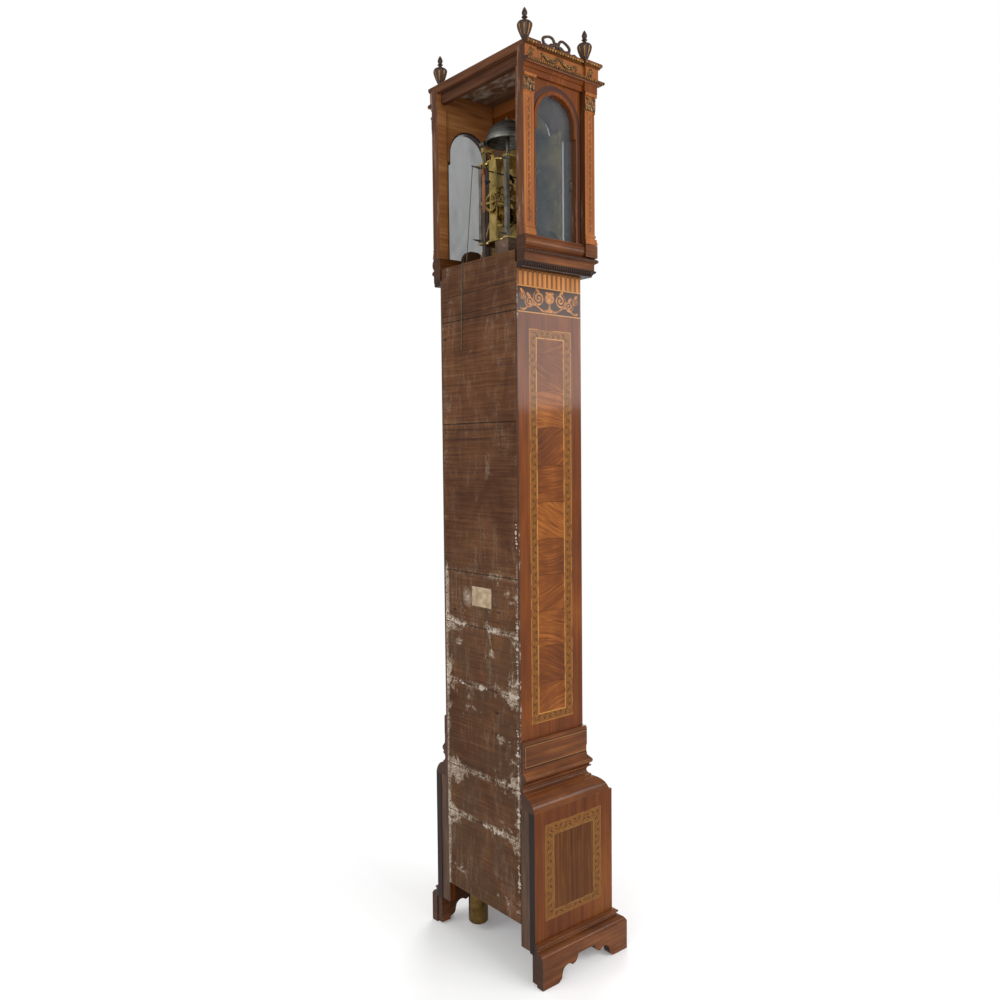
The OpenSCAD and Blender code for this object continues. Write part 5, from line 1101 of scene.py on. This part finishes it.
dress(inner_wood("seat_oak", (0.05, 0.028, 0.016), (0.16, 0.09, 0.05), 0.30), "seat_board")
dress(inner_wood("mask_wood", (0.07, 0.028, 0.010), (0.20, 0.085, 0.030), 0.20), "dial_mask")
ROOF_INSIDE = ((0.06, 0.026, 0.013), (0.14, 0.066, 0.032), (0.24, 0.125, 0.066))
RAIL_DEPTHS, ROOF_TOP = (0.0145, 0.0305), 2.3195


def roof_material():
    """Roof boards: two rails across the back, the outer one brown and the inner one darker as painted shade; the
    underside behind them is greyed by damp in long streaks, and the top is plain and dusty."""
    m = Finish("roof_boards")
    rail, grain = plank(m, m.x, m.z + m.depth, REAR_WOOD, 0.68)
    inner, _ = plank(m, m.x, m.depth, ROOF_INSIDE, 0.72)
    damp = m.grain(m.x * 26.0, m.depth * 60.0, 0.3, 7.0, 0.75, 0.3)
    grey = m.step(damp, 0.53, 0.10) * m.band(m.depth, 0.035, 0.160, 0.03)
    under = m.mix(grey * 0.8, inner, (0.40, 0.34, 0.28))
    # Painted shade: the inner rail is the outer rail's wood darkened, for the shade it lies in.
    dark = m.shade(rail, 0.5 + grain * 0.3)
    outer_rail, both_rails = RAIL_DEPTHS
    colour = m.mix(m.step(m.depth, outer_rail, 0.0005), rail, dark)
    colour = m.mix(m.step(m.depth, both_rails, 0.0005), colour, under)
    top = m.step(m.z, ROOF_TOP, 0.0003)
    m.bump(grain, 0.0008, 0.5)
    return m.finish(m.mix(top, colour, m.shade(inner, 0.8 + grain * 0.3)), 0.75, gleam=0.2)


dress(roof_material(), "hood_roof")

# Movement.
# Brass plates, straps, wheels and weights, iron posts, blued steel anchor and hands, a dark bell: cast, filed
# and riveted or pinned together, and dulled by age.


def metal_material(name, dark, light, rough, tarnish=0.5):
    """Old metal: clouds of tarnish from dark to light, which also take its shine away, and fine file marks."""
    m = Finish(name)
    cloud = m.noise(m.place, 38.0, 5.0, 0.65, 0.3)
    fine = m.noise(m.place, 700.0, 2.0)
    colour = m.ramp(cloud * 0.8 + fine * 0.2, (0.30, dark), (0.68, light))
    m.bump(fine * 0.3 + cloud * 0.3, 0.0003, 0.3)
    return m.finish(colour, rough + cloud * tarnish * 0.4, 1.0)


brass = metal_material("aged_brass", (0.20, 0.135, 0.038), (0.58, 0.43, 0.15), 0.20)
dress(brass, *[s["node"] for s in frame["record"]["subparts"] if s["material_slot"] == "brass"])
dress(metal_material("black_iron", (0.05, 0.045, 0.04), (0.24, 0.22, 0.19), 0.42), "corner_posts", "bell_stand",
      "hammer")
dress(metal_material("blued_steel", (0.02, 0.022, 0.03), (0.11, 0.11, 0.13), 0.28), "anchor_and_crutch", "minute_hand",
      "hour_hand", "trunk_lock_bolt")


def bell_material():
    """Cast bell metal, dull grey-green, with turned rings from rim to crown."""
    m = Finish("bell_metal")
    cloud = m.noise(m.place, 30.0, 5.0, 0.65)
    ring = (m.z * 900.0 + cloud * 1.5).sin() * 0.5 + 0.5
    wide = (m.z * 260.0 + cloud).sin() * 0.5 + 0.5
    m.bump(ring * 0.6 + wide, 0.0006, 0.5)
    colour = m.ramp(cloud * 0.74 + ring * 0.12 + wide * 0.14,
                    (0.28, (0.055, 0.055, 0.048)), (0.76, (0.23, 0.225, 0.20)))
    return m.finish(colour, 0.42, 0.9)


dress(bell_material(), "bell")
dress(metal_material("weight_brass", (0.050, 0.030, 0.010), (0.17, 0.105, 0.032), 0.26, 0.3), "strike_weight",
      "going_weight", "pendulum_bob")
dress(metal_material("silvered_ring", (0.50, 0.49, 0.45), (0.76, 0.75, 0.70), 0.36), "chapter_ring")
COPPER_FROM = 1.954


def rod_material():
    """Dark lacquered rod, bare copper above one height."""
    m = Finish("pendulum_rod_lacquer")
    cloud = m.grain(m.x * 60.0, m.y * 60.0, m.z * 14.0, 4.0, 0.6)
    copper = m.ramp(cloud, (0.30, (0.10, 0.040, 0.020)), (0.70, (0.30, 0.13, 0.065)))
    dark = m.ramp(cloud, (0.30, (0.03, 0.02, 0.016)), (0.70, (0.10, 0.07, 0.05)))
    return m.finish(m.mix(m.step(m.z, COPPER_FROM, 0.004), dark, copper), 0.35 + cloud * 0.2, 0.9)


dress(rod_material(), "pendulum_rod")


def line_material():
    """Gut: amber, with a twist that shows as fine light and dark."""
    m = Finish("gut_line")
    turn = m.grain(m.x * 900.0, m.y * 900.0, m.z * 260.0, 2.0)
    m.bump(turn, 0.0003, 0.5)
    return m.finish(m.ramp(turn, (0.3, (0.22, 0.12, 0.05)), (0.7, (0.45, 0.29, 0.13))), 0.5)


gut = line_material()
dress(gut, "drive_lines", "strike_falls", "going_falls")

# Falls of the two gut lines.
# Each hangs doubled round its weight's pulley, as two straight strands down the height of its falls. In the clock
# it winds up on its drum as the weight climbs; nothing here shortens it, though each fall has a mesh of its own.
GUT_D, GUT_TWIST, CLIMB = 0.0024, 90.0, 1.2
for train in ("strike", "going"):
    low, high = (np.array(corner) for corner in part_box(train + "_falls"))
    mid_y, reach = (low[1] + high[1]) / 2, np.arange(low[2], high[2], 0.003)
    runs = [strip(points_at(x, mid_y, reach), (1, 0, 0), GUT_D, GUT_D, 8, GUT_TWIST)
            for x in (low[0] + GUT_D / 2, high[0] - GUT_D / 2)]
    falls = piece(train + "_fall_lines", join(*runs), gut, "case")
    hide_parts(train + "_falls")
    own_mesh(falls)

# Glass.
# Thin crown panes, greyed by dust, in the hood's side windows and its door: puttied into their rebates.


def glass_material(name, cover):
    """A cool sheen over what shows through, with faint swirls; cover is how much of it the pane hides."""
    m = Finish(name)
    swirl = m.grain(m.x * 3.0, m.y * 9.0, m.z * 4.0, 4.0, 0.6, 1.2)
    dust = m.step(m.grain(m.x, m.y * 14.0, m.z * 5.0, 5.0, 0.7), 0.55, 0.15)
    m.plug(m.surface.inputs["Alpha"], (swirl * 0.4 + dust * 0.10 + 0.80) * cover)
    m.bump(m.noise(m.place, 5.0, 1.0), 0.002, 0.10)
    return m.finish(m.mix(dust * 0.3, (0.062, 0.078, 0.090), (0.14, 0.15, 0.155)), 0.06)


dress(glass_material("side_glass", 0.47), "hood_side_glass")
dress(glass_material("door_glass", 0.10), "hood_door_glass")

# Dial.
# Numerals, minute and quarter tracks and a sunburst, engraved in the silvered ring and boss and filled with black
# wax, with cast brass scrolls screwed on in the four corners.
DIAL_Z, BOSS_Z, RING_FRONT, SCROLL_FRONT = 2012, 2175.9, 174.1, 174.9
QUARTER_TRACK, MINUTE_TRACK, SIGN_FOOT = (93, 97.5), (124.5, 129), 101
DIAL_SIGNS = ["XII", "I", "II", "III", "IIII", "V", "VI", "VII", "VIII", "IX", "X", "XI"]
SIGN_TALL, THICK_STROKE, THIN_STROKE = 20.0, 3.0, 1.1


def around_dial(shape, angle):
    """Turns a shape drawn upright about the dial's centre, clockwise as its reader sees it."""
    points, quads = shape
    turned = points.copy()
    turned[:, 0] = points[:, 0] * math.cos(angle) + points[:, 1] * math.sin(angle)
    turned[:, 1] = points[:, 1] * math.cos(angle) - points[:, 0] * math.sin(angle) + DIAL_Z
    return turned, quads


def ring_of(count, draw):
    """Count shapes round the dial; draw makes the one of each number, upright."""
    return [around_dial(draw(k), k * 2 * math.pi / count) for k in range(count)]


def stroke(a, b, wide):
    """A straight cut from one place to another, filled with wax that stands a little proud."""
    t = np.linspace(0, 1, 4)[:, None]
    path = np.array([*a, RING_FRONT]) * (1 - t) + np.array([*b, RING_FRONT]) * t
    return ribbon(path, wide, 0.5, 6)


def sign(text, foot):
    """A numeral from upright and slanting strokes, its foot towards the dial's centre."""
    widths = {"I": 5.0, "V": 10.0, "X": 10.5}
    start, made = -sum(widths[c] for c in text) / 2, []
    top = foot + SIGN_TALL
    for c in text:
        mid, half = start + widths[c] / 2, widths[c] / 2 - 1.8
        if c == "I":
            made.append(stroke((mid, foot), (mid, top), THICK_STROKE))
        else:
            spread = half if c == "X" else 0
            made += [stroke((mid - half, top), (mid + spread, foot), THICK_STROKE),
                     stroke((mid + half, top), (mid - spread, foot), THIN_STROKE)]
        start += widths[c]
    return join(*made)


def circle_line(far, wide):
    """A ring of wax at one distance from the middle."""
    turn = np.linspace(0, 2 * np.pi, 121)
    return ribbon(points_at(far * np.sin(turn), far * np.cos(turn), RING_FRONT), wide, 0.4, 4)


hours = ring_of(12, lambda k: sign(DIAL_SIGNS[k], SIGN_FOOT))
minutes = ring_of(60, lambda k: stroke((0, MINUTE_TRACK[0]), (0, MINUTE_TRACK[1]), 0.8 if k % 5 else 2.0))
quarters = ring_of(48, lambda k: stroke((0, QUARTER_TRACK[0]), (0, QUARTER_TRACK[1]), 0.8))
tracks = [around_dial(circle_line(far, 0.6), 0) for far in QUARTER_TRACK + MINUTE_TRACK]
sunburst = ring_of(24, lambda k: stroke((0, 12), (0, 34 if k % 2 else 27), 1.6 if k % 2 else 0.9))
sunburst += [around_dial(circle_line(far, 0.8), 0) for far in (11, 37)]
sunburst = [(points + [0, BOSS_Z - DIAL_Z, 0], quads) for points, quads in sunburst]
wax = Finish("black_wax")
wax_wear = wax.noise(wax.place, 500.0, 3.0)
wax.finish(wax.ramp(wax_wear, (0.3, (0.008, 0.008, 0.008)), (0.8, (0.045, 0.04, 0.035))), 0.5)
figures = join(*hours, *minutes, *quarters, *tracks, *sunburst)
piece("dial_figures", in_metres(on_face(figures, "front")), wax.material, "case")


def spandrel(out):
    """Cast corner scroll: two curls run out from a small leaf in the corner."""
    t = np.linspace(0, 1, 33)
    made = []
    for s in (-1, 1):
        turn, reach = 3.6 * np.pi * t, 12 * (1 - 0.82 * t)
        path = points_at(s * (16 + reach * np.sin(turn)), 137 + reach * np.cos(turn), out + 0.8 * t)
        made.append(ribbon(path, 3.4 * (1 - 0.5 * t), 2.4, 8))
    rise = np.linspace(0, 1, 13)
    stem = points_at(0, 138 + 30 * rise, out + 1.2 * np.sin(np.pi * rise))
    made.append(ribbon(stem, 13 * np.sin(np.pi * np.clip(rise, 0.03, 0.97)) ** 0.8, 2.6, 8))
    return join(*made)


scrolls = join(*[around_dial(spandrel(SCROLL_FRONT), (k + 0.5) * math.pi / 2) for k in range(4)])
piece("corner_scrolls", in_metres(on_face(scrolls, "front")), brass, "case")
